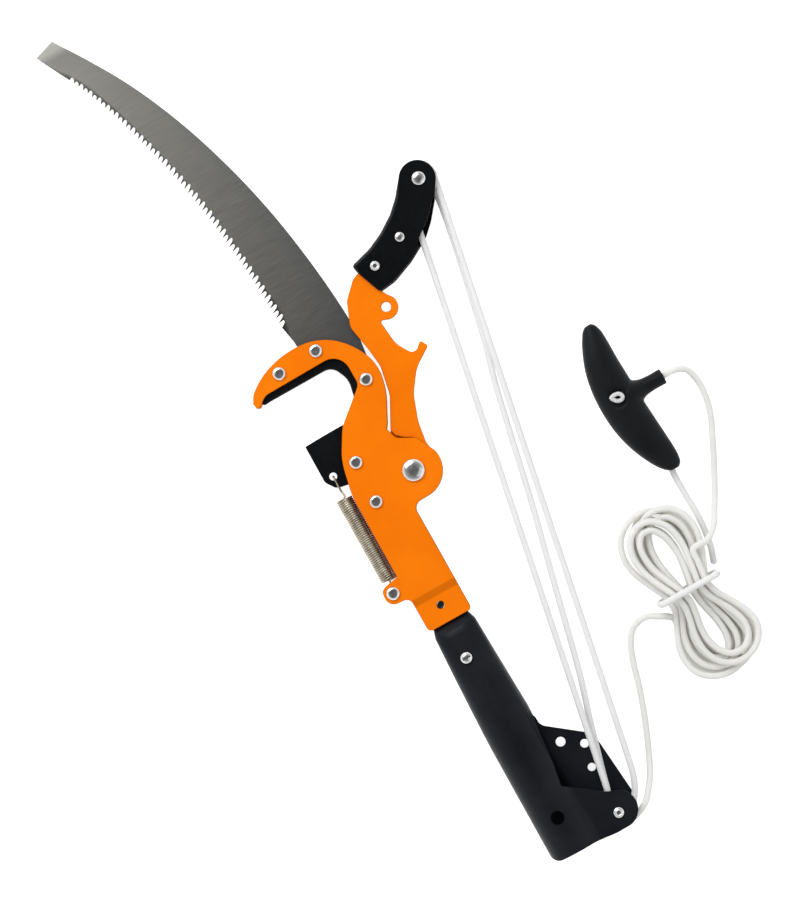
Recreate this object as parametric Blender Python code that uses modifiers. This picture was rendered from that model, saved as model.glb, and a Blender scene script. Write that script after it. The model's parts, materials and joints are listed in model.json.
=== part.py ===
"""Pole saw head: hooked pruner and saw blade on a pole socket, worked by a rope and pulleys.

The tool is drawn in its own frame: u to the right, v along the pole towards the saw, w towards the
viewer, with the pivot bolt at the origin. An empty then lays it on the floor as it rests.
Lengths are in millimetres and MM turns them into metres.
"""

import math

import bmesh
import bpy
from mathutils import Matrix, Vector

MM = 0.001
GAP = 0.3  # clearance between pieces that touch
ARC_STEP = math.radians(23)  # a rounded corner has a point about this often

# Thickness of each layer of the head, and how far apart the side plates stand
PLATE_THICK = 3.0
PLATE_SPACE = 13.2
ARM_THICK = 4.0
CUTTER_THICK = 4.0
SAW_THICK = 1.3
JOGGLE_STEP = 2.4  # how far each side plate steps in to grip the socket's tongue
JOGGLE_TOP = -84.0
JOGGLE_BOTTOM = -91.0

# Fasteners: head radius, head height and shank radius
PIVOT_HEAD = 8.5
PIVOT_HEAD_HIGH = 3.4
PIVOT_SHANK = 4.0
NUT_ACROSS_CORNERS = 15.0
NUT_HIGH = 3.0
RIVET_HEAD = 5.15
RIVET_HEAD_HIGH = 2.2
RIVET_SHANK = 2.6
SLEEVE_RADIUS = 3.4
LEVER_RIVET = 2.5
PIN_SHANK = 3.0
TOP_PIN_HEAD = 5.2
HOUSING_PIN_HEAD = 3.7
PIN_HEAD_HIGH = 1.8

# Where the fasteners are in the head, as (u, v)
HOOK_RIVETS = ((-52.2, 112.3), (-20.0, 113.8), (2.5, 76.7))
BODY_RIVETS = ((-34.6, 26.2), (-35.9, -6.8))
SPRING_RIVET = (-58.4, -72.9)
LEVER_RIVETS = ((-11.7, 6.8), (11.7, -6.8))
CLAMP_RIVET = (-31.8, -97.7)
SPRING_HOLE = (-54.9, 25.6)
SPRING_HOLE_RADIUS = 3.0

# Blocks of the rope tackle
TOP_PIN = (110.6, 188.7)
HOUSING_PINS = ((76.7, 157.3), (49.9, 147.5))
LOWER_PIN = (8.1, -297.7)
ROPE_RADIUS = 2.5
ROPE_END_GAP = 0.6
UPPER_GROOVE = 9.0
UPPER_FLANGE = 12.8
LOWER_GROOVE = 4.7
LOWER_FLANGE = 9.0
SHEAVE_WIDTH = 7.0
UPPER_SHEAVE_W = 2.8
DEAD_END_W = -4.6
LOWER_SHEAVE_W = 4.25  # half the distance between the two lower sheaves

# Pulley housing, a folded channel
HOUSING_SHEET = 2.0
HOUSING_FRONT = 6.6
HOUSING_REAR = -7.6

# Pole socket, one sheet rolled into a tapering tube with two ears
SOCKET_SHEET = 2.0
SOCKET_AXIS_U = -31.8
SOCKET_RADIUS = 20.0
SOCKET_TOP = -88.0
SHOULDER_TOP = -112.2
SOCKET_END = -310.3
EAR_TOP = -207.0
SEAM_ANGLE = 2.0  # degrees to each side of the seam
EAR_HALF_GAP = 8.5
EAR_FILLET = 5.0
EAR_REACH = 29.0
SOCKET_RIVET_V = -141.5
SOCKET_RIVET_U = -34.2
SCREW_HOLE = (-33.5, -278.3)
SCREW_HOLE_RADIUS = 5.2
EAR_HOLES = (((-4.0, -231.7), 3.7), ((11.1, -241.6), 3.3), ((7.1, -259.7), 3.1))

# Return spring
WIRE_RADIUS = 0.8
HOOK_PLAY = 1.7  # between the top hook and the rim of its hole, for the lever to turn
COIL_RADIUS = 5.4
COIL_TURNS = 26
COIL_POINTS = 8
SPRING_LOOP = (60.0, -240.0)  # where the loop round its rivet starts and ends, in degrees from +u
COIL_TOP = (-56.2, 7.0)
COIL_BOTTOM = (-56.2, -63.0)

# Saw blade
SAW_PITCH = 4.1
TOOTH_FIRST = 1.7
TOOTH_LAST = 4.1

# Derived levels along w
PLATE_IN = PLATE_SPACE / 2
PLATE_OUT = PLATE_IN + PLATE_THICK
ARM_HIGH = PLATE_IN - GAP
ARM_LOW = ARM_HIGH - ARM_THICK
CUTTER_HIGH = ARM_LOW - GAP
CUTTER_LOW = CUTTER_HIGH - CUTTER_THICK
SAW_HIGH = CUTTER_HIGH
SAW_LOW = SAW_HIGH - SAW_THICK
BACK_LOW = -PLATE_IN + GAP
TONGUE_HALF = PLATE_IN - JOGGLE_STEP - GAP
UPPER_WRAP = UPPER_GROOVE + ROPE_RADIUS + GAP
LOWER_WRAP = LOWER_GROOVE + ROPE_RADIUS + GAP

# Outlines as (u, v, corner radius)
PLATE_OUTLINE = (
    (-81.5, 100.5, 2.5), (-76.0, 110.0, 10), (-53.0, 123.0, 25), (-22.0, 125.3, 25),
    (1.5, 113.3, 25), (15.2, 91.0, 25), (14.8, 67.0, 20), (-2.3, 36.5, 2),
    (0.3, 27.5, 6), (13.5, 19.8, 8), (21.2, 5.0, 12), (20.6, -7.6, 6),
    (5.0, -20.2, 12), (-15.3, -20.0, 8), (-14.1, -60.0, 0), (-13.8, -111.6, 3),
    (-48.7, -111.6, 4), (-48.4, -82.0, 5), (-66.0, -80.6, 7.2), (-65.6, -66.6, 6),
    (-49.3, -63.6, 1.2), (-48.9, 5.0, 60), (-43.2, 32.5, 50), (-30.5, 54.0, 30),
    (-2.5, 77.6, 14), (-3.5, 104.4, 13), (-69.5, 103.2, 10), (-77.6, 96.8, 1.2),
)
ANVIL_OUTLINE = (
    (-75.5, 101.0, 2.0), (-71.0, 107.0, 6), (-50.0, 119.5, 25), (-22.0, 121.5, 25),
    (0.0, 109.8, 22), (10.8, 89.0, 20), (9.8, 68.2, 5), (-4.0, 64.6, 4),
    (-12.8, 67.0, 3), (-9.0, 83.0, 16), (-15.0, 97.8, 9), (-68.0, 97.4, 4),
    (-73.8, 97.0, 2.0),
)
PACKING_OUTLINE = (
    (-74.0, 104.2, 2), (-70.5, 107.5, 5), (-50.0, 119.5, 25), (-22.0, 121.5, 25),
    (0.0, 109.8, 22), (10.6, 90.0, 20), (9.8, 69.4, 6.8), (-4.8, 69.4, 6.8),
    (-4.6, 92.0, 10), (-13.0, 104.6, 8),
)
ARM_OUTLINE = (
    (-20.8, 3.0, 18), (-19.0, -20.4, 18), (20.8, -21.0, 20), (21.8, 3.0, 12),
    (18.2, 14.0, 12), (21.0, 30.0, 25), (27.5, 50.0, 25), (39.0, 66.0, 25),
    (56.8, 75.8, 1.5), (51.8, 82.4, 1.5), (42.0, 75.5, 8), (33.5, 89.0, 20),
    (31.8, 110.5, 4), (49.8, 106.5, 4.5), (50.6, 119.5, 10), (43.0, 131.5, 2),
    (66.0, 138.5, 20), (84.5, 148.5, 7), (83.0, 163.5, 7), (71.0, 163.6, 6),
    (56.0, 156.6, 20), (30.5, 147.0, 8), (18.6, 135.0, 8), (11.0, 116.5, 12),
    (14.2, 96.0, 25), (17.4, 80.0, 15), (13.2, 58.0, 20), (-6.0, 24.0, 20),
)
ARM_HOLE = (42.2, 116.8)
ARM_HOLE_RADIUS = 3.7
CUTTER_TIP = (-62.4, 55.2)
CUTTER_HUB = 17.0
SAW_BACK_RADIUS = 500.0
SAW_TIP_BACK = (-79.0, 415.0)
SAW_TIP_FRONT = (-95.4, 409.6)
SAW_BACK_END = (9.4, 119.2)
SAW_EDGE = ((-91.5, 402.0), (-76.5, 374.8), (-56.1, 316.4), (-42.4, 253.0), (-34.6, 189.0), (-31.0, 141.7))
SAW_PLAIN = (-30.4, 128.0)
SAW_HEEL = (
    (-29.6, 106.6, 3), (-12.5, 105.4, 8), (-4.6, 92.0, 12), (-4.8, 69.4, 6.8),
    (9.8, 69.4, 6.8), (11.4, 92.0, 20), (13.0, 109.0, 4),
)
HOUSING_BACK = (
    (89.3, 184.6, 25), (79.7, 175.4, 20), (66.0, 166.2, 20), (53.0, 160.4, 20), (34.8, 155.8, 2.5),
)
HOUSING_REST = (
    (36.9, 147.0, 4), (43.4, 128.2, 3), (58.0, 130.0, 20), (76.0, 137.4, 20),
    (88.4, 144.2, 1), (94.6, 147.6, 1.5), (104.0, 157.0, 15), (114.5, 170.0, 25),
)
HOUSING_NOTCH = (
    (86.0, 140.0), (86.0, 147.6), (91.0, 151.2), (97.0, 155.4), (104.0, 161.2), (113.0, 171.5),
    (128.0, 160.0),
)
HOUSING_TOP = 14.0
WEB_END = (92.6, 189.4)
REAR_EAR = (
    (-11.6, -200.0, 0), (-11.2, -213.5, 8), (15.0, -233.8, 4), (20.8, -240.4, 3),
    (25.4, -290.0, 12), (25.6, -310.3, 14), (0.0, -311.6, 30), (-20.0, -310.3, 0),
)
FRONT_EAR = (
    (-11.6, -200.0, 0), (-14.6, -221.0, 20), (-16.2, -240.0, 20), (-19.6, -259.6, 2),
    (8.0, -280.0, 20), (17.0, -285.2, 12), (25.6, -298.0, 10), (25.6, -310.3, 14),
    (0.0, -311.6, 30), (-20.0, -310.3, 0),
)

# Where the rope meets and leaves the lower sheaves, in degrees from +u
LEFT_TANGENT = 176.0
RIGHT_TANGENT = 306.0
HAUL_END = 262.0
DEAD_END = (-8.0, 250.0)  # the eye round the upper pin, from the strand to the rope's end

# Tackle strands, hand-laid points as (u, v), from the lower block upwards
STRAND_A = ((15.8, -301.6), (21.2, -297.6), (26.6, -290.6), (30.8, -281.6), (33.6, -271.0))
STRAND_BC = ((1.0, -294.2), (2.4, -290.5), (5.3, -285.4), (9.0, -279.2))
STRAND_B = (
    (10.9, -272.0), (21.2, -235.0), (34.5, -190.7), (43.0, -155.8), (51.4, -121.0),
    (66.2, -60.3), (76.9, -11.0), (85.0, 25.0), (95.4, 64.0), (104.6, 106.0),
    (112.0, 142.0), (116.4, 168.0), (117.0, 178.5),
)

# Free rope on the floor, hand-laid points as (x, y, z)
FREE_ROPE = (
    (16.0, -306.4, 25.9), (22.3, -306.0, 25.0), (29.4, -301.2, 20.6), (36.0, -295.0, 14.2),
    (41.5, -288.4, 8.8), (46.3, -280.0, 4.4), (50.8, -270.5, 2.5), (59.8, -249.0, 2.5),
    (69.2, -221.6, 2.5), (76.6, -198.0, 2.5), (84.6, -185.6, 2.5), (95.0, -181.6, 4.2),
)
LEAD_ROPE = (
    (204.5, -30.0, 11.2), (211.5, -31.0, 8.6), (217.2, -36.5, 4.8), (219.7, -47.5, 2.6),
    (217.2, -67.9, 2.5), (207.4, -90.8, 2.5), (196.0, -113.6, 2.5), (188.0, -128.0, 4.8),
    (179.5, -141.0, 10.2), (171.0, -151.5, 18.2),
)
TAIL_ROPE = (
    (170.3, -89.0, 2.5), (169.6, -96.0, 2.5), (169.2, -106.0, 2.5), (169.6, -120.0, 2.5),
    (169.9, -134.0, 2.5), (168.8, -149.0, 2.5), (166.3, -162.0, 2.5), (162.6, -173.0, 2.5),
)

# Hank of rope, tied at its waist
HANK_CENTRE = (136.0, -184.0)
HANK_LAYERS = 4
HANK_LAYER_TURNS = 2.5
HANK_LOOP_POINTS = 24
HANK_WAIST = 16.5
HANK_WAIST_STEP = 5.8
HANK_LOBE = 45.0
HANK_LOBE_STEP = 9.5
HANK_LENGTH = 70.0
HANK_LENGTH_STEP = 6.5
HANK_RISE = 5.8
HANK_TURNED = (0.0, 7.0, -6.0, 9.0)  # how far each layer is turned about the waist, in degrees
HANK_LEAN = 2.5  # the lower lobe lies this far to the right
TIE_OFFSET = 5.5

# Pull handle: sections as (v, middle u, half width, half height)
GRIP_SECTIONS = (
    (30.6, 167.2, 2.6, 2.4), (28.4, 166.9, 5.2, 4.6), (24.0, 166.2, 7.6, 6.4), (14.0, 164.0, 10.6, 8.6),
    (0.0, 161.4, 13.2, 10.4), (-16.0, 160.2, 15.0, 11.5), (-34.0, 160.2, 15.7, 11.8),
    (-52.0, 161.8, 15.4, 11.6), (-67.0, 164.2, 13.8, 10.6), (-79.0, 166.9, 11.4, 8.8),
    (-87.0, 169.0, 8.6, 6.8), (-91.6, 170.2, 5.6, 4.8), (-93.6, 170.8, 2.8, 2.4),
)
GRIP_CORNERS = 16
NECK_V = -30.2
NECK_END = 198.0
NECK_RADIUS = 6.1
KNOT_PLACE = (159.9, -27.4)

COLOURS = {
    "orange_paint": ((1.0, 0.22, 0.005), 0.38, 0.0),
    "black_coat": ((0.012, 0.013, 0.015), 0.42, 0.0),
    "saw_steel": ((0.20, 0.20, 0.19), 0.38, 0.8),
    "bright_zinc": ((0.72, 0.73, 0.74), 0.22, 1.0),
    "spring_steel": ((0.36, 0.34, 0.30), 0.32, 1.0),
    "white_rope": ((0.86, 0.86, 0.83), 0.8, 0.0),
    "black_plastic": ((0.011, 0.012, 0.014), 0.5, 0.0),
}


def clear_scene():
    for obj in list(bpy.data.objects):
        bpy.data.objects.remove(obj, do_unlink=True)


def new_collection(name):
    collection = bpy.data.collections.new(name)
    bpy.context.scene.collection.children.link(collection)
    return collection


def make_materials():
    made = {}
    for name, (colour, roughness, metallic) in COLOURS.items():
        material = bpy.data.materials.new(name)
        material.use_nodes = True
        shader = material.node_tree.nodes["Principled BSDF"]
        shader.inputs["Base Color"].default_value = (*colour, 1.0)
        shader.inputs["Roughness"].default_value = roughness
        shader.inputs["Metallic"].default_value = metallic
        made[name] = material
    return made


clear_scene()
PARTS = new_collection("pole_saw")
CUTTERS = new_collection("cutters")
MATERIALS = make_materials()


def arc(centre, radius, start, end, count):
    """Points along an arc, angles in degrees from +u, both ends included."""
    points = []
    for i in range(count + 1):
        angle = math.radians(start + (end - start) * i / count)
        points.append((centre[0] + radius * math.cos(angle), centre[1] + radius * math.sin(angle)))
    return points


def rounded(corners):
    """The outline through corners (u, v, radius), each corner turned by an arc."""
    points = []
    for i, (u, v, radius) in enumerate(corners):
        here = Vector((u, v))
        before = Vector(corners[i - 1][:2]) - here
        after = Vector(corners[(i + 1) % len(corners)][:2]) - here
        half = before.angle(after) / 2
        turn = math.pi - 2 * half
        if radius <= 0 or turn < 0.02:
            points.append((u, v))
            continue
        reach = min(radius / math.tan(half), 0.49 * before.length, 0.49 * after.length)
        radius = reach * math.tan(half)
        middle = here + (before.normalized() + after.normalized()).normalized() * radius / math.sin(half)
        first = here + before.normalized() * reach - middle
        last = here + after.normalized() * reach - middle
        start = math.atan2(first.y, first.x)
        sweep = math.atan2(first.x * last.y - first.y * last.x, first.dot(last))
        count = max(1, math.ceil(turn / ARC_STEP))
        for k in range(count + 1):
            angle = start + sweep * k / count
            points.append((middle.x + radius * math.cos(angle), middle.y + radius * math.sin(angle)))
    return points


def circle(centre, radius, count=16):
    turns = [math.tau * i / count for i in range(count)]
    return [(centre[0] + radius * math.cos(a), centre[1] + radius * math.sin(a)) for a in turns]


def smooth(points, step):
    """Points about every step along a smooth curve through the given ones."""
    anchors = [Vector(p) for p in points]
    spans = [(q - p).length for p, q in zip(anchors, anchors[1:])]
    rates = [(q - p) / span for p, q, span in zip(anchors, anchors[1:], spans)]
    slopes = [rates[0]]
    for before, after, short, long in zip(rates, rates[1:], spans, spans[1:]):
        slopes.append((before * long + after * short) / (short + long))
    slopes.append(rates[-1])
    fine = []
    for i, span in enumerate(spans):
        for k in range(20):
            t = k / 20
            start = anchors[i] * (1 + 2 * t) * (1 - t) ** 2 + slopes[i] * span * t * (1 - t) ** 2
            end = anchors[i + 1] * t * t * (3 - 2 * t) + slopes[i + 1] * span * t * t * (t - 1)
            fine.append(start + end)
    fine.append(anchors[-1])
    lengths = [0.0]
    for p, q in zip(fine, fine[1:]):
        lengths.append(lengths[-1] + (q - p).length)
    count = max(2, round(lengths[-1] / step))
    even = []
    k = 0
    for i in range(count + 1):
        goal = lengths[-1] * i / count
        while k < len(fine) - 2 and lengths[k + 1] < goal:
            k += 1
        span = lengths[k + 1] - lengths[k]
        even.append(fine[k].lerp(fine[k + 1], min(1.0, (goal - lengths[k]) / span)))
    return even


def empty(name, place, parent=None):
    obj = bpy.data.objects.new(name, None)
    obj.empty_display_size = 0.02
    PARTS.objects.link(obj)
    obj["centre"] = tuple(place)
    obj.parent = parent
    origin = parent["centre"] if parent else (0, 0, 0)
    obj.location = [(a - b) * MM for a, b in zip(place, origin)]
    return obj


def add(name, data, material, parent, place=(0, 0, 0)):
    """A new object whose data is drawn in its parent's frame of the tool, moved by place."""
    obj = bpy.data.objects.new(name, data)
    PARTS.objects.link(obj)
    data.materials.append(MATERIALS[material])
    obj.parent = parent
    obj.location = [(a - b) * MM for a, b in zip(place, parent["centre"])]
    return obj


def outline_curve(name, outlines, low, high):
    curve = bpy.data.curves.new(name, "CURVE")
    curve.dimensions = "2D"
    curve.fill_mode = "BOTH"
    curve.extrude = (high - low) / 2 * MM
    for outline in outlines:
        spline = curve.splines.new("POLY")
        spline.points.add(len(outline) - 1)
        for point, (u, v) in zip(spline.points, outline):
            point.co = (u * MM, v * MM, 0, 1)
        spline.use_cyclic_u = True
    return curve


def flat(name, outlines, low, high, material, parent):
    """A flat piece from w = low to w = high: the first outline, with the others as holes."""
    curve = outline_curve(name, outlines, low, high)
    return add(name, curve, material, parent, (0, 0, (low + high) / 2))


def welded_mesh(obj):
    """obj's evaluated shape as a new mesh with its loose caps joined."""
    bpy.context.view_layer.update()
    evaluated = obj.evaluated_get(bpy.context.evaluated_depsgraph_get())
    mesh = bpy.data.meshes.new_from_object(evaluated)
    work = bmesh.new()
    work.from_mesh(mesh)
    bmesh.ops.remove_doubles(work, verts=work.verts, dist=0.000002)
    bmesh.ops.recalc_face_normals(work, faces=work.faces)
    work.to_mesh(mesh)
    work.free()
    return mesh


def as_mesh(obj):
    """The curve obj turned into a mesh object of the same name, parent and place."""
    name, parent, location = obj.name, obj.parent, obj.location.copy()
    mesh = welded_mesh(obj)
    bpy.data.objects.remove(obj, do_unlink=True)
    made = bpy.data.objects.new(name, mesh)
    PARTS.objects.link(made)
    made.parent = parent
    made.location = location
    return made


def cutter(name, outlines, low, high, parent):
    """A prism that cuts, kept in the cutters' collection."""
    made = as_mesh(flat(name, outlines, low, high, "black_coat", parent))
    PARTS.objects.unlink(made)
    CUTTERS.objects.link(made)
    made.hide_render = True
    made.display_type = "WIRE"
    return made


def boolean(obj, tool, operation="DIFFERENCE"):
    modifier = obj.modifiers.new(tool.name, "BOOLEAN")
    modifier.operation = operation
    modifier.solver = "EXACT"
    modifier.object = tool
    return obj


def turned_mesh(name, profile, steps):
    """A solid turned about w from a profile of (radius, w), top to bottom."""
    mesh = bpy.data.meshes.new(name)
    count = len(profile)
    ring = profile[0][0] > 0
    edges = [(i, (i + 1) % count) for i in range(count if ring else count - 1)]
    mesh.from_pydata([(r * MM, 0, w * MM) for r, w in profile], edges, [])
    obj = bpy.data.objects.new(name, mesh)
    PARTS.objects.link(obj)
    screw = obj.modifiers.new("turn", "SCREW")
    screw.axis = "Z"
    screw.angle = 2 * math.pi
    screw.steps = steps
    screw.render_steps = steps
    screw.use_merge_vertices = True
    screw.merge_threshold = 0.00001
    solid = welded_mesh(obj)
    bpy.data.objects.remove(obj, do_unlink=True)
    solid.shade_smooth()
    solid.set_sharp_from_angle(angle=math.radians(35))
    return solid


def turned(name, profile, steps, material, parent, place=(0, 0, 0)):
    """A turned piece standing at place."""
    return add(name, turned_mesh(name, profile, steps), material, parent, place)


def turned_set(name, profile, steps, material, parent, places):
    """One numbered piece at each (u, v)."""
    for i, place in enumerate(places, start=1):
        turned(f"{name}_{i}", profile, steps, material, parent, (*place, 0))


def domed(head, head_high, seat, steps=3):
    """Half of a rivet's profile: its domed head above the seat level."""
    return [
        (head * math.sin(a), seat + head_high * (0.25 + 0.75 * math.cos(a)))
        for a in (math.pi / 2 * i / steps for i in range(steps + 1))
    ] + [(head, seat)]


def rivet_profile(head, head_high, shank, front, rear, sleeve=0.0, sleeve_half=0.0):
    """A rivet with a domed head, an upset tail and, where one is given, a sleeve between the plates."""
    profile = domed(head, head_high, front + GAP)
    profile.append((shank, front + GAP))
    if sleeve:
        profile += [(shank, sleeve_half), (sleeve, sleeve_half)]
        profile += [(sleeve, -sleeve_half), (shank, -sleeve_half)]
    seat, tail = rear - GAP, head - 0.6
    profile += [(shank, seat), (tail, seat), (tail, seat - 0.5 * head_high)]
    return [*profile, (tail - 0.8, seat - 0.7 * head_high), (0, seat - 0.7 * head_high)]


def tube(name, points, radius, material, parent, resolution=2):
    """A round tube along points, with its ends closed."""
    curve = bpy.data.curves.new(name, "CURVE")
    curve.dimensions = "3D"
    curve.bevel_depth = radius * MM
    curve.bevel_resolution = resolution
    curve.use_fill_caps = True
    spline = curve.splines.new("POLY")
    spline.points.add(len(points) - 1)
    for point, place in zip(spline.points, points):
        point.co = (*[x * MM for x in place], 1)
    spline.use_smooth = True
    return add(name, curve, material, parent)


def make_side_plates(tool):
    """Two mirrored hook plates that step in to grip the socket's tongue."""
    outline = rounded(PLATE_OUTLINE)
    rivets = (*HOOK_RIVETS, *BODY_RIVETS, SPRING_RIVET, CLAMP_RIVET)
    holes = [circle(p, RIVET_SHANK + GAP, 12) for p in rivets]
    holes.append(circle((0, 0), PIVOT_SHANK + GAP, 16))
    for name, side in (("front_side_plate", 1), ("rear_side_plate", -1)):
        low, high = sorted((side * PLATE_IN, side * PLATE_OUT))
        plate = as_mesh(flat(name, [outline, *holes], low, high, "orange_paint", tool))
        work = bmesh.new()
        work.from_mesh(plate.data)
        for level in (JOGGLE_TOP, JOGGLE_BOTTOM):
            bmesh.ops.bisect_plane(
                work,
                geom=[*work.verts, *work.edges, *work.faces],
                plane_co=(0, level * MM, 0),
                plane_no=(0, 1, 0),
                dist=0.000001,
            )
        for vert in work.verts:
            share = (JOGGLE_TOP * MM - vert.co.y) / ((JOGGLE_TOP - JOGGLE_BOTTOM) * MM)
            vert.co.z -= side * JOGGLE_STEP * MM * min(1.0, max(0.0, share))
        work.to_mesh(plate.data)
        work.free()


def make_hook_core(tool):
    """The hardened hook edge under the front plate, and the packing that holds the saw's heel."""
    holes = [circle(p, RIVET_SHANK + GAP, 12) for p in HOOK_RIVETS]
    flat("hook_anvil", [rounded(ANVIL_OUTLINE), *holes], ARM_LOW, ARM_HIGH, "black_coat", tool)
    packing = as_mesh(
        flat("hook_packing", [rounded(PACKING_OUTLINE), *holes], BACK_LOW, CUTTER_HIGH, "black_coat", tool)
    )
    top, side = SAW_PLAIN[0] - 2 * GAP, SAW_HEEL[0][0] - 2 * GAP
    pocket = [(top, SAW_PLAIN[1]), (side, SAW_HEEL[0][1]), (side, 60.0), (20.0, 60.0), (20.0, SAW_PLAIN[1])]
    boolean(packing, cutter("saw_pocket", [pocket], SAW_LOW - GAP, CUTTER_HIGH + 1, tool))


def arc_between(start, end, radius, count):
    """Points after start and before end along an arc that bulges to the left of its run."""
    a, b = Vector(start), Vector(end)
    half = (b - a).length / 2
    across = Vector((a.y - b.y, b.x - a.x)).normalized()
    centre = (a + b) / 2 - across * math.sqrt(radius * radius - half * half)
    first = math.atan2(*reversed(tuple(a - centre)))
    sweep = -2 * math.asin(half / radius)
    angles = [first + sweep * k / count for k in range(1, count)]
    return [(centre.x + radius * math.cos(a), centre.y + radius * math.sin(a)) for a in angles]


def saw_teeth():
    """Raked teeth along the blade's edge, every second one cut deeper, growing towards the heel."""
    line = smooth([(*p, 0) for p in SAW_EDGE], SAW_PITCH / 4)
    distance = [0.0]
    for p, q in zip(line, line[1:]):
        distance.append(distance[-1] + (q - p).length)

    def place(goal, depth):
        k = min(len(line) - 2, max(0, sum(1 for d in distance if d <= goal) - 1))
        along = (line[k + 1] - line[k]).normalized()
        point = line[k] + along * (goal - distance[k])
        return point.x - along.y * depth, point.y + along.x * depth

    start = distance[-1] - SAW_PITCH * math.floor((distance[-1] - 30.0) / SAW_PITCH)
    count = round((distance[-1] - start) / SAW_PITCH)
    points = [place(0, 0), place(start / 2, 0), place(start, 0)]
    for i in range(count):
        goal = start + i * SAW_PITCH
        depth = TOOTH_FIRST + (TOOTH_LAST - TOOTH_FIRST) * i / count
        if i % 2:
            depth *= 0.66
        points.append(place(goal + 0.2 * SAW_PITCH, depth))
        if i % 2 == 0:
            points.append(place(goal + 0.55 * SAW_PITCH, 0.6 * depth))
        points.append(place(goal + SAW_PITCH, 0))
    return points


def make_saw(tool):
    back = arc_between(SAW_TIP_BACK, SAW_BACK_END, SAW_BACK_RADIUS, 14)
    heel = rounded([(*SAW_BACK_END, 0), (*SAW_PLAIN, 0), *SAW_HEEL])[2:]
    outline = [SAW_TIP_BACK, SAW_TIP_FRONT, *saw_teeth(), *heel, SAW_BACK_END, *reversed(back)]
    holes = [circle(p, RIVET_SHANK + GAP, 12) for p in HOOK_RIVETS[1:]]
    flat("saw_blade", [outline, *holes], SAW_LOW, SAW_HIGH, "saw_steel", tool)


def make_lever(lever):
    """The arm and the cutter that it turns, riveted together about the pivot."""
    rivets = [circle(p, LEVER_RIVET + GAP, 12) for p in LEVER_RIVETS]
    bore = circle((0, 0), PIVOT_SHANK + GAP, 16)
    pins = [circle(p, PIN_SHANK / 2 + 0.6 + GAP, 12) for p in HOUSING_PINS]
    arm_hole = circle(ARM_HOLE, ARM_HOLE_RADIUS, 14)
    flat(
        "lever_arm",
        [rounded(ARM_OUTLINE), bore, arm_hole, *rivets, *pins],
        ARM_LOW,
        ARM_HIGH,
        "orange_paint",
        lever,
    )
    stop = Vector(BODY_RIVETS[0])
    clear = SLEEVE_RADIUS + GAP
    swing = stop.length + clear
    notch = [
        (u, v, 0)
        for u, v in [
            *arc(stop, clear, -30, 150, 6),
            *arc((0, 0), swing, 147.5, 163, 3),
        ]
    ]
    hub = [(u, v, 0) for u, v in arc((0, 0), CUTTER_HUB, 60, -150, 12)]
    outline = [
        (*CUTTER_TIP, 0.8),
        (-22.0, 56.6, 25),
        *hub,
        (-22.0, 6.0, 8),
        *notch,
        (-47.4, 14.6, 2),
        (-57.0, 16.4, 7),
        (-62.6, 24.4, 7),
    ]
    spring_hole = circle(SPRING_HOLE, SPRING_HOLE_RADIUS, 14)
    outlines = [rounded(outline), bore, spring_hole, *rivets]
    blade = as_mesh(flat("cutter_blade", outlines, CUTTER_LOW, CUTTER_HIGH, "black_coat", lever))
    boolean(blade, make_grind(lever))
    flush = [(0, ARM_HIGH), (LEVER_RIVET, ARM_HIGH), (LEVER_RIVET, CUTTER_LOW), (0, CUTTER_LOW)]
    turned_set("lever_rivet", flush, 16, "bright_zinc", lever, LEVER_RIVETS)


def make_grind(lever):
    """The wedge that grinds the cutter's upper edge from the rear."""
    angle = math.radians(25)
    mesh = bpy.data.meshes.new("edge_grind")
    work = bmesh.new()
    bmesh.ops.create_cube(work, size=1.0)
    size = Matrix.Diagonal((70 * MM, 20 * MM, 20 * MM, 1))
    turn = Matrix.Rotation(-angle, 4, "X")
    shift = Matrix.Translation((0, 10 * MM, -10 * MM))
    bmesh.ops.transform(work, matrix=turn @ shift @ size, verts=work.verts)
    work.to_mesh(mesh)
    work.free()
    wedge = bpy.data.objects.new("edge_grind", mesh)
    CUTTERS.objects.link(wedge)
    wedge.hide_render = True
    wedge.display_type = "WIRE"
    wedge.parent = lever
    reach = 0.7 * CUTTER_THICK * math.tan(angle)
    place = Vector((-44.0, CUTTER_TIP[1] - reach, CUTTER_LOW))
    wedge.location = (place - Vector(lever["centre"])) * MM
    return wedge


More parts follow.
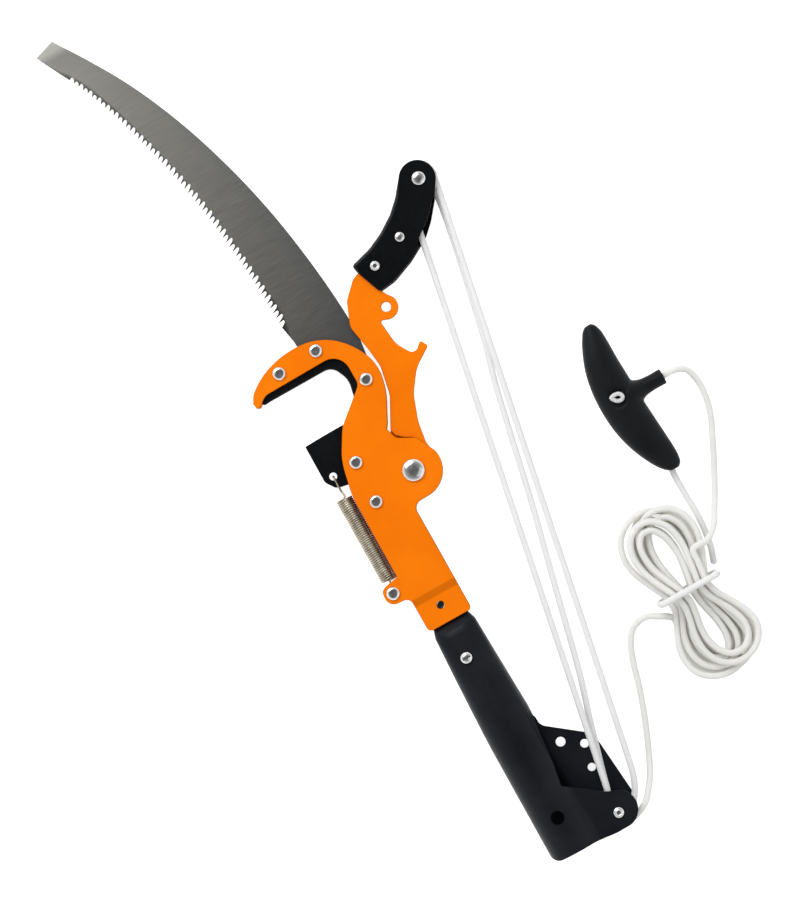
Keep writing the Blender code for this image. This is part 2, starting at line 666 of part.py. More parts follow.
def make_fasteners(tool, lever):
    """Rivets through the head, the pivot bolt with its bush and nut, and the pins."""
    plain = rivet_profile(RIVET_HEAD, RIVET_HEAD_HIGH, RIVET_SHANK, PLATE_OUT, -PLATE_OUT)
    turned_set("hook_rivet", plain, 12, "bright_zinc", tool, HOOK_RIVETS)
    half = PLATE_IN - GAP
    sleeved = rivet_profile(
        RIVET_HEAD, RIVET_HEAD_HIGH, RIVET_SHANK, PLATE_OUT, -PLATE_OUT, SLEEVE_RADIUS, half
    )
    turned_set("body_rivet", sleeved, 12, "bright_zinc", tool, BODY_RIVETS)
    turned("spring_rivet", plain, 12, "bright_zinc", tool, (*SPRING_RIVET, 0))
    clamp_out = PLATE_OUT - JOGGLE_STEP
    flush = [(0, clamp_out), (RIVET_SHANK, clamp_out), (RIVET_SHANK, -clamp_out), (0, -clamp_out)]
    turned("socket_clamp_rivet", flush, 16, "black_coat", tool, (*CLAMP_RIVET, 0))
    bolt = domed(PIVOT_HEAD, PIVOT_HEAD_HIGH, PLATE_OUT + GAP, 6)
    end = -PLATE_OUT - GAP - NUT_HIGH
    bolt += [(PIVOT_SHANK, PLATE_OUT + GAP), (PIVOT_SHANK, end), (0, end)]
    turned("pivot_bolt", bolt, 20, "bright_zinc", tool)
    bore = PIVOT_SHANK + GAP
    flange = CUTTER_HUB - 5
    bush_top = CUTTER_LOW - GAP
    bush = [(flange, bush_top), (flange, BACK_LOW), (bore, BACK_LOW), (bore, bush_top)]
    turned("pivot_bush", bush, 20, "bright_zinc", tool)
    hexagon = circle((0, 0), NUT_ACROSS_CORNERS / 2, 6)
    flat("pivot_nut", [hexagon, circle((0, 0), bore, 16)], end, -PLATE_OUT - GAP, "bright_zinc", tool)
    front = HOUSING_FRONT + HOUSING_SHEET
    rear = HOUSING_REAR - HOUSING_SHEET
    shank = PIN_SHANK / 2 + 0.6
    pin = rivet_profile(HOUSING_PIN_HEAD, PIN_HEAD_HIGH, shank, front, rear)
    turned_set("housing_pin", pin, 12, "bright_zinc", lever, HOUSING_PINS)
    spacer = [
        (shank + GAP + 2.0, ARM_LOW - GAP),
        (shank + GAP + 2.0, HOUSING_REAR + GAP),
        (shank + GAP, HOUSING_REAR + GAP),
        (shank + GAP, ARM_LOW - GAP),
    ]
    turned_set("housing_spacer", spacer, 16, "black_coat", lever, HOUSING_PINS)
    axle = rivet_profile(TOP_PIN_HEAD, RIVET_HEAD_HIGH, PIN_SHANK, front, rear)
    turned("upper_sheave_pin", axle, 12, "bright_zinc", lever, (*TOP_PIN, 0))
    ear = EAR_HALF_GAP + SOCKET_SHEET
    axle = rivet_profile(RIVET_HEAD - 0.7, PIN_HEAD_HIGH, PIN_SHANK, ear, -ear)
    turned("lower_sheave_pin", axle, 12, "bright_zinc", tool, (*LOWER_PIN, 0))


def sheave_profile(groove, flange):
    half = SHEAVE_WIDTH / 2
    bore = PIN_SHANK + GAP
    wall = ((flange, half), (flange, half - 0.5), (groove + 1.6, 2.4), (groove, 1.0))
    lower = [(r, -w) for r, w in reversed(wall)]
    return [*wall, *lower, (bore, -half), (bore, half)]


def make_sheaves(upper, front_lower, rear_lower):
    for name, groove, flange, axis in (
        ("upper_sheave", UPPER_GROOVE, UPPER_FLANGE, upper),
        ("front_lower_sheave", LOWER_GROOVE, LOWER_FLANGE, front_lower),
        ("rear_lower_sheave", LOWER_GROOVE, LOWER_FLANGE, rear_lower),
    ):
        turned(name, sheave_profile(groove, flange), 18, "black_plastic", axis, axis["centre"])


def make_housing(lever):
    """A folded channel: two cheeks joined by a web along its back, open towards the rope."""
    top = [(u, v, 0) for u, v in arc(TOP_PIN, HOUSING_TOP, -40, 148, 14)]
    outline = rounded([*HOUSING_REST, *top, *HOUSING_BACK])
    pins = [circle(p, PIN_SHANK / 2 + 0.6 + GAP, 12) for p in HOUSING_PINS]
    pins.append(circle(TOP_PIN, PIN_SHANK + GAP, 12))
    front, rear = HOUSING_FRONT + HOUSING_SHEET, HOUSING_REAR - HOUSING_SHEET
    shell = as_mesh(flat("pulley_housing", [outline, *pins], rear, front, "black_coat", lever))
    inner = []
    web = [Vector(WEB_END), *(Vector(p[:2]) for p in HOUSING_BACK)]
    for i, point in enumerate(web):
        along = (web[min(i + 1, len(web) - 1)] - web[max(i - 1, 0)]).normalized()
        inner.append(tuple(point + Vector((-along.y, along.x)) * HOUSING_SHEET))
    inner[-1] = (28.0, inner[-1][1] - 1.0)
    pocket = [*inner, (28.0, 110.0), (140.0, 110.0), (140.0, 215.0), (90.0, 215.0)]
    boolean(shell, cutter("channel_pocket", [pocket], HOUSING_REAR, HOUSING_FRONT, lever))
    boolean(shell, cutter("rope_notch", [list(HOUSING_NOTCH)], HOUSING_FRONT - 1, front + 1, lever))


def socket_section(half_width, half_height, power, spread, reach):
    """One section of the rolled sheet's outer face as (u, w), from the front ear round to the rear ear."""
    seam = math.radians(SEAM_ANGLE)
    ear_w = EAR_HALF_GAP + SOCKET_SHEET
    root_w = ear_w + EAR_FILLET
    root_u = math.sqrt((SOCKET_RADIUS + EAR_FILLET) ** 2 - root_w**2)
    touch = math.atan2(root_w, root_u)

    def tube_point(angle):
        c, s = math.cos(angle), math.sin(angle)
        return Vector(
            (
                half_width * math.copysign(abs(c) ** (2 / power), c),
                half_height * math.copysign(abs(s) ** (2 / power), s),
            )
        )

    ear_points = 4
    front = []
    for i in range(ear_points):
        shut = tube_point(seam + (touch - seam) * i / ear_points)
        if i == 0:
            ear = Vector((reach - SOCKET_AXIS_U, ear_w))
        else:
            angle = -math.pi / 2 - (math.pi / 2 - touch) * (i - 1) / (ear_points - 1)
            ear = Vector((root_u + EAR_FILLET * math.cos(angle), root_w + EAR_FILLET * math.sin(angle)))
        front.append(shut.lerp(ear, spread))
    count = 15
    rolled = [tube_point(touch + (2 * math.pi - 2 * touch) * i / count) for i in range(count + 1)]
    rear = [Vector((p.x, -p.y)) for p in reversed(front)]
    return [(p.x + SOCKET_AXIS_U, p.y) for p in (*front, *rolled, *rear)]


def make_socket(tool):
    """The rolled sheet, trimmed to its ears, with its holes."""
    shut, open_start = SOCKET_AXIS_U, SOCKET_AXIS_U + SOCKET_RADIUS + 1.5
    stations = (
        (SOCKET_TOP, 13.6, TONGUE_HALF, 4, 0, shut),
        (SHOULDER_TOP, 13.9, TONGUE_HALF, 4, 0, shut),
        (-118.5, 17.0, 9.4, 2.6, 0, shut),
        (-150.0, 17.8, 14.2, 2.2, 0, shut),
        (EAR_TOP + 11, 19.2, 18.4, 2, 0, shut),
        (EAR_TOP, 19.5, 19.2, 2, 1, open_start),
        (EAR_TOP - 2, 19.5, 19.3, 2, 1, EAR_REACH),
        (SOCKET_END, SOCKET_RADIUS, SOCKET_RADIUS, 2, 1, EAR_REACH),
    )
    mesh = bpy.data.meshes.new("pole_socket")
    work = bmesh.new()
    rows = []
    for v, half_width, half_height, power, spread, reach in stations:
        section = socket_section(half_width, half_height, power, spread, reach)
        rows.append([work.verts.new((u * MM, v * MM, w * MM)) for u, w in section])
    for upper, lower in zip(rows, rows[1:]):
        for i in range(len(upper) - 1):
            work.faces.new((upper[i], upper[i + 1], lower[i + 1], lower[i]))
    work.to_mesh(mesh)
    work.free()
    socket = add("pole_socket", mesh, "black_coat", tool)
    sheet = socket.modifiers.new("sheet", "SOLIDIFY")
    sheet.thickness = SOCKET_SHEET * MM
    sheet.offset = -1
    sheet.use_even_offset = True
    right, past = EAR_REACH + 20, SOCKET_END - 20
    for name, ear, low, high in (("rear_trim", REAR_EAR, -30, 0), ("front_trim", FRONT_EAR, 0, 30)):
        edge = rounded([(right, -190.0, 0), (-8.0, -190.0, 0), *ear, (-20.0, past, 0), (right, past, 0)])
        boolean(socket, cutter(name, [edge], low, high, tool))
    left = SOCKET_AXIS_U - SOCKET_RADIUS
    corner = [
        (left - 8, past),
        (left - 8, SOCKET_END + 7),
        *arc((left + 7, SOCKET_END + 7), 7.0, 180, 270, 5),
        (left + 12, past),
    ]
    boolean(socket, cutter("corner_trim", [corner], -30, 30, tool))
    boolean(socket, cutter("screw_hole", [circle(SCREW_HOLE, SCREW_HOLE_RADIUS, 18)], 5, 30, tool))
    for i, (place, radius) in enumerate(EAR_HOLES):
        boolean(socket, cutter(f"ear_hole_{i}", [circle(place, radius, 12)], -30, 0, tool))
    boolean(socket, cutter("lower_pin_hole", [circle(LOWER_PIN, PIN_SHANK + GAP, 14)], -30, 30, tool))
    boolean(socket, cutter("clamp_hole", [circle(CLAMP_RIVET, RIVET_SHANK + GAP, 12)], -30, 30, tool))
    across = (SOCKET_RIVET_U, SOCKET_RIVET_V)
    boolean(socket, cutter("cross_hole", [circle(across, RIVET_SHANK + GAP, 12)], -30, 30, tool))


def make_socket_rivet(tool):
    """The rivet across the socket, which stops the pole."""
    out = 14.0
    profile = rivet_profile(RIVET_HEAD - 0.5, RIVET_HEAD_HIGH + 0.6, RIVET_SHANK, out, -out)
    turned("socket_cross_rivet", profile, 12, "bright_zinc", tool, (SOCKET_RIVET_U, SOCKET_RIVET_V, 0))


def make_spring(tool, lever):
    """The coil with its lower loop, and the hook that ties it to the cutter."""
    rise = COIL_TOP[1] - COIL_BOTTOM[1]
    steps = COIL_TURNS * COIL_POINTS
    coil = []
    for i in range(steps + 1):
        angle = 2 * math.pi * i / COIL_POINTS
        coil.append(
            (
                COIL_BOTTOM[0] + COIL_RADIUS * math.sin(angle),
                COIL_BOTTOM[1] + rise * i / steps,
                COIL_RADIUS * math.cos(angle),
            )
        )
    u, v = SPRING_RIVET
    ring = RIVET_SHANK + GAP + WIRE_RADIUS
    loop = [(x, y, 0.0) for x, y in arc((u, v), ring, *SPRING_LOOP, 14)]
    joint = [(u + 0.6, v + 6.2, 0.4), (COIL_BOTTOM[0] - 0.6, COIL_BOTTOM[1] - 2.6, 2.2)]
    tube("return_spring", [*loop, *joint, *coil], WIRE_RADIUS, "spring_steel", tool, 1)
    hole_u, hole_v = SPRING_HOLE[0], SPRING_HOLE[1] - SPRING_HOLE_RADIUS + HOOK_PLAY + WIRE_RADIUS
    front = CUTTER_HIGH + GAP + WIRE_RADIUS
    rear = CUTTER_LOW - GAP - WIRE_RADIUS
    hook = [
        (COIL_TOP[0], COIL_TOP[1] + 2.4, COIL_RADIUS - 1.0),
        (COIL_TOP[0], COIL_TOP[1] + 4.2, front),
        (hole_u, hole_v - 2.4, front),
        (hole_u, hole_v - 0.8, front - 0.4),
        (hole_u, hole_v, front - 1.4),
        (hole_u, hole_v, rear + 1.4),
        (hole_u, hole_v - 0.8, rear + 0.4),
        (hole_u, hole_v - 2.4, rear),
        (hole_u, hole_v - 5.4, rear),
    ]
    tube("spring_top_hook", hook, WIRE_RADIUS, "spring_steel", lever, 1)


def on_circle(centre, radius, degrees):
    angle = math.radians(degrees)
    return centre[0] + radius * math.cos(angle), centre[1] + radius * math.sin(angle)


def make_tackle(tool, rope_head, strands):
    """Three strands between the blocks, and the turns round each sheave."""
    run = math.degrees(math.atan2(TOP_PIN[1] - LOWER_PIN[1], TOP_PIN[0] - LOWER_PIN[0]))
    right = run - 90 + 1.0
    left = run + 90 + 0.8
    turn = [(*p, UPPER_SHEAVE_W) for p in arc(TOP_PIN, UPPER_WRAP, right, left, 11)]
    tube("rope_upper_turn", turn, ROPE_RADIUS, "white_rope", rope_head)
    eye = PIN_SHANK + GAP + ROPE_RADIUS
    end = [(*p, DEAD_END_W) for p in arc(TOP_PIN, eye, *DEAD_END, 13)]
    tube("rope_dead_end", end, ROPE_RADIUS, "white_rope", rope_head)
    lower = [(*p, -LOWER_SHEAVE_W) for p in arc(LOWER_PIN, LOWER_WRAP, RIGHT_TANGENT, LEFT_TANGENT, 11)]
    tube("rope_lower_turn", lower, ROPE_RADIUS, "white_rope", strands)
    haul = [(*p, LOWER_SHEAVE_W) for p in arc(LOWER_PIN, LOWER_WRAP, LEFT_TANGENT, HAUL_END, 8)]
    tube("rope_haul_turn", haul, ROPE_RADIUS, "white_rope", tool)
    low_left = on_circle(LOWER_PIN, LOWER_WRAP, LEFT_TANGENT)
    low_right = on_circle(LOWER_PIN, LOWER_WRAP, RIGHT_TANGENT)
    routes = {
        "rope_strand_a": ((low_right, *STRAND_A), (), on_circle(TOP_PIN, UPPER_WRAP, right)),
        "rope_strand_b": ((low_left, *STRAND_BC), STRAND_B, on_circle(TOP_PIN, eye, DEAD_END[0])),
        "rope_strand_c": ((low_left, *STRAND_BC), (), on_circle(TOP_PIN, UPPER_WRAP, left)),
    }
    levels = {
        "rope_strand_a": (-LOWER_SHEAVE_W, UPPER_SHEAVE_W),
        "rope_strand_b": (-LOWER_SHEAVE_W, DEAD_END_W),
        "rope_strand_c": (LOWER_SHEAVE_W, UPPER_SHEAVE_W),
    }
    for name, (bend, run_up, top) in routes.items():
        low, high = levels[name]
        line = smooth([(*p, low) for p in bend], 4.5)
        start = line[-1].y
        for u, v in (*run_up, top):
            line.append(Vector((u, v, low + (high - low) * (v - start) / (top[1] - start))))
        tube(name, trimmed(line), ROPE_RADIUS, "white_rope", strands)


def trimmed(line):
    """The line with each end drawn back a little, so that it meets the next piece face to face."""
    line = [Vector(p) for p in line]
    line[0] += (line[1] - line[0]).normalized() * ROPE_END_GAP
    line[-1] += (line[-2] - line[-1]).normalized() * ROPE_END_GAP
    return line


def above_floor(line):
    """The rope's line, with no point lower than a rope that lies on the floor."""
    return [(p[0], p[1], max(ROPE_RADIUS, p[2])) for p in line]


def tool_to_floor(tool, place):
    """A point of the tool, given in its own frame, on the floor's frame."""
    return [x / MM for x in tool.matrix_local @ Vector([x * MM for x in place])]


def hank_points():
    """The hank's centreline: loops that spiral in and out, layer on layer, drawn in at the waist.

    Each layer is turned a little about the waist, so its loops don't hide those below.
    """
    turns = HANK_LAYERS * HANK_LAYER_TURNS - 0.45
    steps = round(turns * HANK_LOOP_POINTS)
    points = []
    for i in range(steps + 1):
        t = 0.03 + (turns - 0.03) * i / steps
        layer = min(HANK_LAYERS - 1, int(t / HANK_LAYER_TURNS))
        inside = t - layer * HANK_LAYER_TURNS
        rank = inside if layer % 2 == 0 else HANK_LAYER_TURNS - inside
        near = round(t / HANK_LAYER_TURNS)
        climb = 1.0
        if 0 < near < HANK_LAYERS:
            climb = (t - near * HANK_LAYER_TURNS) / 0.5
        level = layer
        if abs(climb) < 0.5:
            level = near - 1 + (0.5 - 0.5 * math.cos(math.pi * (climb + 0.5)))
        phase = math.pi + 2 * math.pi * t
        c, s = math.cos(phase), math.sin(phase)
        waist = HANK_WAIST - HANK_WAIST_STEP * rank
        lobe = HANK_LOBE - HANK_LOBE_STEP * rank
        x = c * (waist + lobe * s * s)
        y = (HANK_LENGTH - HANK_LENGTH_STEP * rank) * s * (0.62 + 0.38 * s * s) + 4 * s * s
        if y < 0:
            x += HANK_LEAN * min(1.0, (y / 45) ** 2)
        nearness = 1 - min(1.0, abs(y - TIE_OFFSET) / 32)
        lift = (2 * ROPE_RADIUS + GAP) * math.sin(math.pi / 2 * nearness) ** 2
        below = math.floor(level)
        share = level - below
        share *= share * (3 - 2 * share)
        above = min(HANK_LAYERS - 1, below + 1)
        angle = math.radians(HANK_TURNED[below] * (1 - share) + HANK_TURNED[above] * share)
        c, s = math.cos(angle), math.sin(angle)
        across, up = x, y - TIE_OFFSET
        height = ROPE_RADIUS + lift + HANK_RISE * level
        points.append(Vector((across * c - up * s, across * s + up * c + TIE_OFFSET, height)))
    return points


def make_hank(floor):
    """The rope's hank with straight ends, and the turn of rope that ties its waist."""
    line = hank_points()
    lead_in = [Vector((-30.0, -2.0, 6.0)), Vector((-25.2, -4.6, 6.3)), Vector((-20.8, -8.0, 6.8))]
    out = (line[-1] - line[-2]).normalized()
    line = [*lead_in, *line[1:], line[-1] + out * 2 * ROPE_RADIUS]
    centre = Vector((*HANK_CENTRE, 0))
    line = [p + centre for p in line]
    tube("rope_hank", line, ROPE_RADIUS, "white_rope", floor, 1)
    gaps = []
    for i, p in enumerate(line):
        for q in line[i + 8 :]:
            gaps.append((p - q).length)
    print("Least gap of the hank to itself, in mm:", round(min(gaps) - 2 * ROPE_RADIUS, 2))
    length = sum((q - p).length for p, q in zip(line, line[1:]))
    print("Length of rope in the hank, in mm:", round(length))
    half = HANK_WAIST + 2 * ROPE_RADIUS + GAP + 2.2
    top = 2 * ROPE_RADIUS + GAP + HANK_RISE * (HANK_LAYERS - 1) + 2 * ROPE_RADIUS + ROPE_RADIUS + GAP
    ring = rounded([(-half, ROPE_RADIUS, 5), (half, ROPE_RADIUS, 5), (half, top, 5), (-half, top, 5)])
    curve = bpy.data.curves.new("hank_tie", "CURVE")
    curve.dimensions = "3D"
    curve.bevel_depth = ROPE_RADIUS * MM
    curve.bevel_resolution = 1
    spline = curve.splines.new("POLY")
    spline.points.add(len(ring) - 1)
    for point, (x, z) in zip(spline.points, ring):
        point.co = ((x + centre.x) * MM, (centre.y + TIE_OFFSET) * MM, z * MM, 1)
    spline.use_cyclic_u = True
    add("hank_tie", curve, "white_rope", floor)
    return line


def make_free_rope(tool, floor, hank):
    """The rope from the lower block to the hank, and from the hank to the handle."""
    start = tool_to_floor(tool, (*on_circle(LOWER_PIN, LOWER_WRAP, HAUL_END), LOWER_SHEAVE_W))
    into = hank[0] + (hank[0] - hank[1]).normalized() * 8
    route = [start, *smooth([*FREE_ROPE, into], 14.0), hank[0]]
    tube("free_rope", above_floor(trimmed(route)), ROPE_RADIUS, "white_rope", floor)
    neck = (NECK_END + GAP, NECK_V, grip_height())
    into = hank[-1] + (hank[-1] - hank[-2]).normalized() * 8
    route = [neck, *smooth([*LEAD_ROPE, into], 14.0), hank[-1]]
    tube("handle_rope", above_floor(trimmed(route)), ROPE_RADIUS, "white_rope", floor)
    tube("rope_tail", above_floor(smooth(TAIL_ROPE, 14.0)), ROPE_RADIUS, "white_rope", floor)


def grip_height():
    return max(section[3] for section in GRIP_SECTIONS)


def make_handle(floor):
    """A moulded crescent grip with a neck for the rope, and the knot that shows on its face."""
    mesh = bpy.data.meshes.new("pull_handle")
    work = bmesh.new()
    height = grip_height()
    rings = []
    for v, u, half_width, half_height in GRIP_SECTIONS:
        ring = []
        for i in range(GRIP_CORNERS):
            angle = 2 * math.pi * (i + 0.5) / GRIP_CORNERS
            ring.append(
                work.verts.new(
                    (
                        (u + half_width * math.cos(angle)) * MM,
                        v * MM,
                        (height + half_height * math.sin(angle) / math.cos(math.pi / GRIP_CORNERS)) * MM,
                    )
                )
            )
        rings.append(ring)
    for upper, lower in zip(rings, rings[1:]):
        for i in range(GRIP_CORNERS):
            k = (i + 1) % GRIP_CORNERS
            work.faces.new((upper[i], upper[k], lower[k], lower[i]))
    work.faces.new(rings[0])
    work.faces.new(rings[-1])
    bmesh.ops.recalc_face_normals(work, faces=work.faces)
    work.to_mesh(mesh)
    work.free()
    mesh.shade_smooth()
    grip = add("pull_handle", mesh, "black_plastic", floor)
    bore = ROPE_RADIUS + 0.5
    reach = NECK_END - KNOT_PLACE[0] - 6
    profile = [
        (bore, 0), (NECK_RADIUS - 0.8, 0), (NECK_RADIUS, -0.8), (NECK_RADIUS + 0.2, -14.0),
        (NECK_RADIUS + 1.6, -18.5), (NECK_RADIUS + 4.6, -22.5), (NECK_RADIUS + 4.6, -reach), (0, -reach),
        (0, -12.0), (bore, -12.0),
    ]
    neck = bpy.data.objects.new("neck", turned_mesh("neck", profile, 16))
    CUTTERS.objects.link(neck)
    neck.hide_render = True
    neck.display_type = "WIRE"
    neck.parent = floor
    neck.rotation_euler = (0, math.pi / 2, 0)
    neck.location = (NECK_END * MM, NECK_V * MM, height * MM)
    boolean(grip, neck, "UNION")
    dish = bpy.data.meshes.new("knot_dish")
    work = bmesh.new()
    bmesh.ops.create_uvsphere(work, u_segments=14, v_segments=8, radius=12.0 * MM)
    work.to_mesh(dish)
    work.free()
    ball = bpy.data.objects.new("knot_dish", dish)
    CUTTERS.objects.link(ball)
    ball.hide_render = True
    ball.display_type = "WIRE"
    ball.parent = floor
    ball.location = (KNOT_PLACE[0] * MM, KNOT_PLACE[1] * MM, (2 * height + 9.4) * MM)
    boolean(grip, ball)
    ring = circle((0, 0), 1.0, 10)
    points = [
        (KNOT_PLACE[0] + 3.4 * a, KNOT_PLACE[1] + 2.6 * b, 2 * height + 0.5) for a, b in ring
    ]
    curve = bpy.data.curves.new("handle_knot", "CURVE")
    curve.dimensions = "3D"
    curve.bevel_depth = 1.7 * MM
    curve.bevel_resolution = 1
    spline = curve.splines.new("POLY")
    spline.points.add(len(points) - 1)
    for point, place in zip(spline.points, points):
        point.co = (*[x * MM for x in place], 1)
    spline.use_cyclic_u = True
    add("handle_knot", curve, "white_rope", floor)


def world_points(names):
    """The corners of the named pieces' evaluated shapes, in world space."""
    bpy.context.view_layer.update()
    graph = bpy.context.evaluated_depsgraph_get()
    points = []
    for name in names:
        obj = bpy.data.objects[name].evaluated_get(graph)
        mesh = obj.to_mesh()
        points += [obj.matrix_world @ vert.co for vert in mesh.vertices]
        obj.to_mesh_clear()
    return points


def lay_down(tool, supports):
    """Tilts the tool so that the three supports touch the floor."""
    clouds = [world_points([name]) for name in supports]
    up = Vector((0, 0, 1))
    for _ in range(20):
        a, b, c = (min(cloud, key=lambda p: p.dot(up)) for cloud in clouds)
        up = (b - a).cross(c - a).normalized()
        if up.z < 0:
            up = -up
    turn = up.rotation_difference(Vector((0, 0, 1)))
    tool.rotation_mode = "QUATERNION"
    tool.rotation_quaternion = turn
    low = min((turn @ p).z for cloud in clouds for p in cloud)
    tool.location = (0, 0, -low)
    bpy.context.view_layer.update()
    print("Tilt of the tool, in degrees:", round(math.degrees(turn.angle), 3))


def centre_on_floor(root, cords):
    """Moves everything so that the origin is under the middle of the object without its cords."""
    names = [obj.name for obj in PARTS.objects if obj.type != "EMPTY" and obj.name not in cords]
    points = world_points(names)
    middle = [(min(p[i] for p in points) + max(p[i] for p in points)) / 2 for i in (0, 1)]
    root.location = (-middle[0], -middle[1], 0)
    bpy.context.view_layer.update()


def build():
    root = empty("pole_saw_root", (0, 0, 0))
    tool = empty("tool", (0, 0, 0), root)
    floor = empty("floor", (0, 0, 0), root)
    lever = empty("lever_axis", (0, 0, 0), tool)
    upper = empty("upper_sheave_axis", (*TOP_PIN, UPPER_SHEAVE_W), lever)
    rope_head = empty("rope_head_axis", (*TOP_PIN, 0), lever)
    front_lower = empty("front_lower_sheave_axis", (*LOWER_PIN, LOWER_SHEAVE_W), tool)
    rear_lower = empty("rear_lower_sheave_axis", (*LOWER_PIN, -LOWER_SHEAVE_W), tool)
    strands = empty("strands_axis", (*LOWER_PIN, 0), tool)
    make_side_plates(tool)
    make_hook_core(tool)
    make_saw(tool)
    make_lever(lever)
    make_fasteners(tool, lever)
    make_housing(lever)
    make_sheaves(upper, front_lower, rear_lower)
    make_socket(tool)
    make_socket_rivet(tool)
    make_spring(tool, lever)
    make_tackle(tool, rope_head, strands)
    lay_down(tool, ("pole_socket", "hook_rivet_1", "upper_sheave_pin"))
    make_handle(floor)
    hank = make_hank(floor)
    make_free_rope(tool, floor, hank)
    centre_on_floor(root, ("free_rope", "handle_rope", "rope_tail", "rope_hank", "hank_tie"))


build()
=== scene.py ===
"""Looks of the pole saw head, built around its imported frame.

Shapes that are drawn here use the tool's own frame, as in the part's source: u to the right, v along
the pole towards the saw, w towards the viewer, in millimetres, with the pivot bolt at the origin.
TOOL lays them in the row frame. FLOOR does so for what lies loose beside the tool, from the floor up.
"""

import json
import math

import bmesh
import bpy
from mathutils import Matrix, Vector, geometry


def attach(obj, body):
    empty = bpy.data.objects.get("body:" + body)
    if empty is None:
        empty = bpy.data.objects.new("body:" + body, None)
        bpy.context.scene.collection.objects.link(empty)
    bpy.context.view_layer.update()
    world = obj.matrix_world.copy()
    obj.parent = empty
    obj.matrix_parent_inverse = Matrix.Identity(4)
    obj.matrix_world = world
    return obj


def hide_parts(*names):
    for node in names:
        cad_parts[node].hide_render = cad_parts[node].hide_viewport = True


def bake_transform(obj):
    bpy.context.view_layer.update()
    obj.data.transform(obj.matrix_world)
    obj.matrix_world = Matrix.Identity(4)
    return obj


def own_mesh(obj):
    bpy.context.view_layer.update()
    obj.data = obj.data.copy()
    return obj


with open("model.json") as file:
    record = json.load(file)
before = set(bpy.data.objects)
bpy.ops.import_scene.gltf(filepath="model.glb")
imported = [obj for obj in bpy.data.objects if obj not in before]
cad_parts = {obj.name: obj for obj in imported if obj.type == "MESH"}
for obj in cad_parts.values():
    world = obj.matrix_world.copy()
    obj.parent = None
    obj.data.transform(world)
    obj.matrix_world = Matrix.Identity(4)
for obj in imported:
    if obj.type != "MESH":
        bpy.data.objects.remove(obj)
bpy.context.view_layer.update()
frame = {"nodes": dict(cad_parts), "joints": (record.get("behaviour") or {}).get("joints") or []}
NODES = frame["nodes"]
JOINTS = {joint["name"]: joint for joint in frame["joints"]}

MM = 0.001
PIVOT = Vector(JOINTS["lever_pivot"]["pos_m"])
UPRIGHT = Vector((0, 0, 1)).rotation_difference(Vector(JOINTS["lever_pivot"]["axis"]))
TOOL = Matrix.Translation(PIVOT) @ UPRIGHT.to_matrix().to_4x4()
FLOOR = Matrix.Translation((PIVOT.x, PIVOT.y, 0))
ACROSS = Matrix(((0, 0, 1, 0), (1, 0, 0, 0), (0, 1, 0, 0), (0, 0, 0, 1)))  # draws in v and w, along u
UP = UPRIGHT @ Vector((0, 0, 1))
IN_MM = Matrix.Diagonal((MM, MM, MM, 1))

SHARP = 35  # faces that meet at more degrees keep a sharp edge

# Places and sizes of the part's source, in millimetres
GAP = 0.3
PLATE_IN, PLATE_OUT = 6.6, 9.6
ARM_HIGH, ARM_LOW = 6.3, 2.3
CUTTER_HIGH, CUTTER_LOW = 2.0, -2.0
SAW_HIGH, SAW_LOW = 2.0, 0.7
JOGGLE_STEP, JOGGLE_TOP, JOGGLE_BOTTOM = 2.4, -84.0, -91.0
JOGGLE_BEND = 0.16  # the share of the step's run that each of its bends takes
TONGUE_HALF = PLATE_IN - JOGGLE_STEP - GAP
PIVOT_HEAD, PIVOT_HEAD_HIGH, PIVOT_SHANK = 8.5, 3.4, 4.0
NUT_HIGH = 3.0
RIVET_HEAD, RIVET_HEAD_HIGH, RIVET_SHANK = 5.15, 2.2, 2.6
SLEEVE_RADIUS = 3.4
LEVER_RIVET = 2.5
LEVER_RIVETS = ((-11.7, 6.8), (11.7, -6.8))
PIN_SHANK = 3.0
HOUSING_SHANK = 2.1
TOP_PIN_HEAD, HOUSING_PIN_HEAD, PIN_HEAD_HIGH = 5.2, 3.7, 1.8
HOOK_RIVETS = ((-52.2, 112.3), (-20.0, 113.8), (2.5, 76.7))
BODY_RIVETS = ((-34.6, 26.2), (-35.9, -6.8))
SPRING_RIVET = (-58.4, -72.9)
CLAMP_RIVET = (-31.8, -97.7)
SPRING_HOLE, SPRING_HOLE_RADIUS = (-54.9, 25.6), 3.0
TOP_PIN = (110.6, 188.7)
HOUSING_PINS = ((76.7, 157.3), (49.9, 147.5))
LOWER_PIN = (8.1, -297.7)
SOCKET_RIVET = (-34.2, -141.5)
HOUSING_FRONT, HOUSING_REAR, HOUSING_SHEET, HOUSING_TOP = 6.6, -7.6, 2.0, 14.0
SHEAVE_WIDTH = 7.0
UPPER_SHEAVE_W, DEAD_END_W, LOWER_SHEAVE_W = 2.8, -4.6, 4.25
UPPER_GROOVE, UPPER_FLANGE = 9.0, 12.8
LOWER_GROOVE, LOWER_FLANGE = 4.7, 9.0


def on_circle(centre, radius, degrees):
    angle = math.radians(degrees)
    return centre[0] + radius * math.cos(angle), centre[1] + radius * math.sin(angle)


def fan(u, v, radius, start, step, count):
    """Outline points on a circle about (u, v), every step degrees from start."""
    return [(*on_circle((u, v), radius, start + step * i), 0) for i in range(count)]


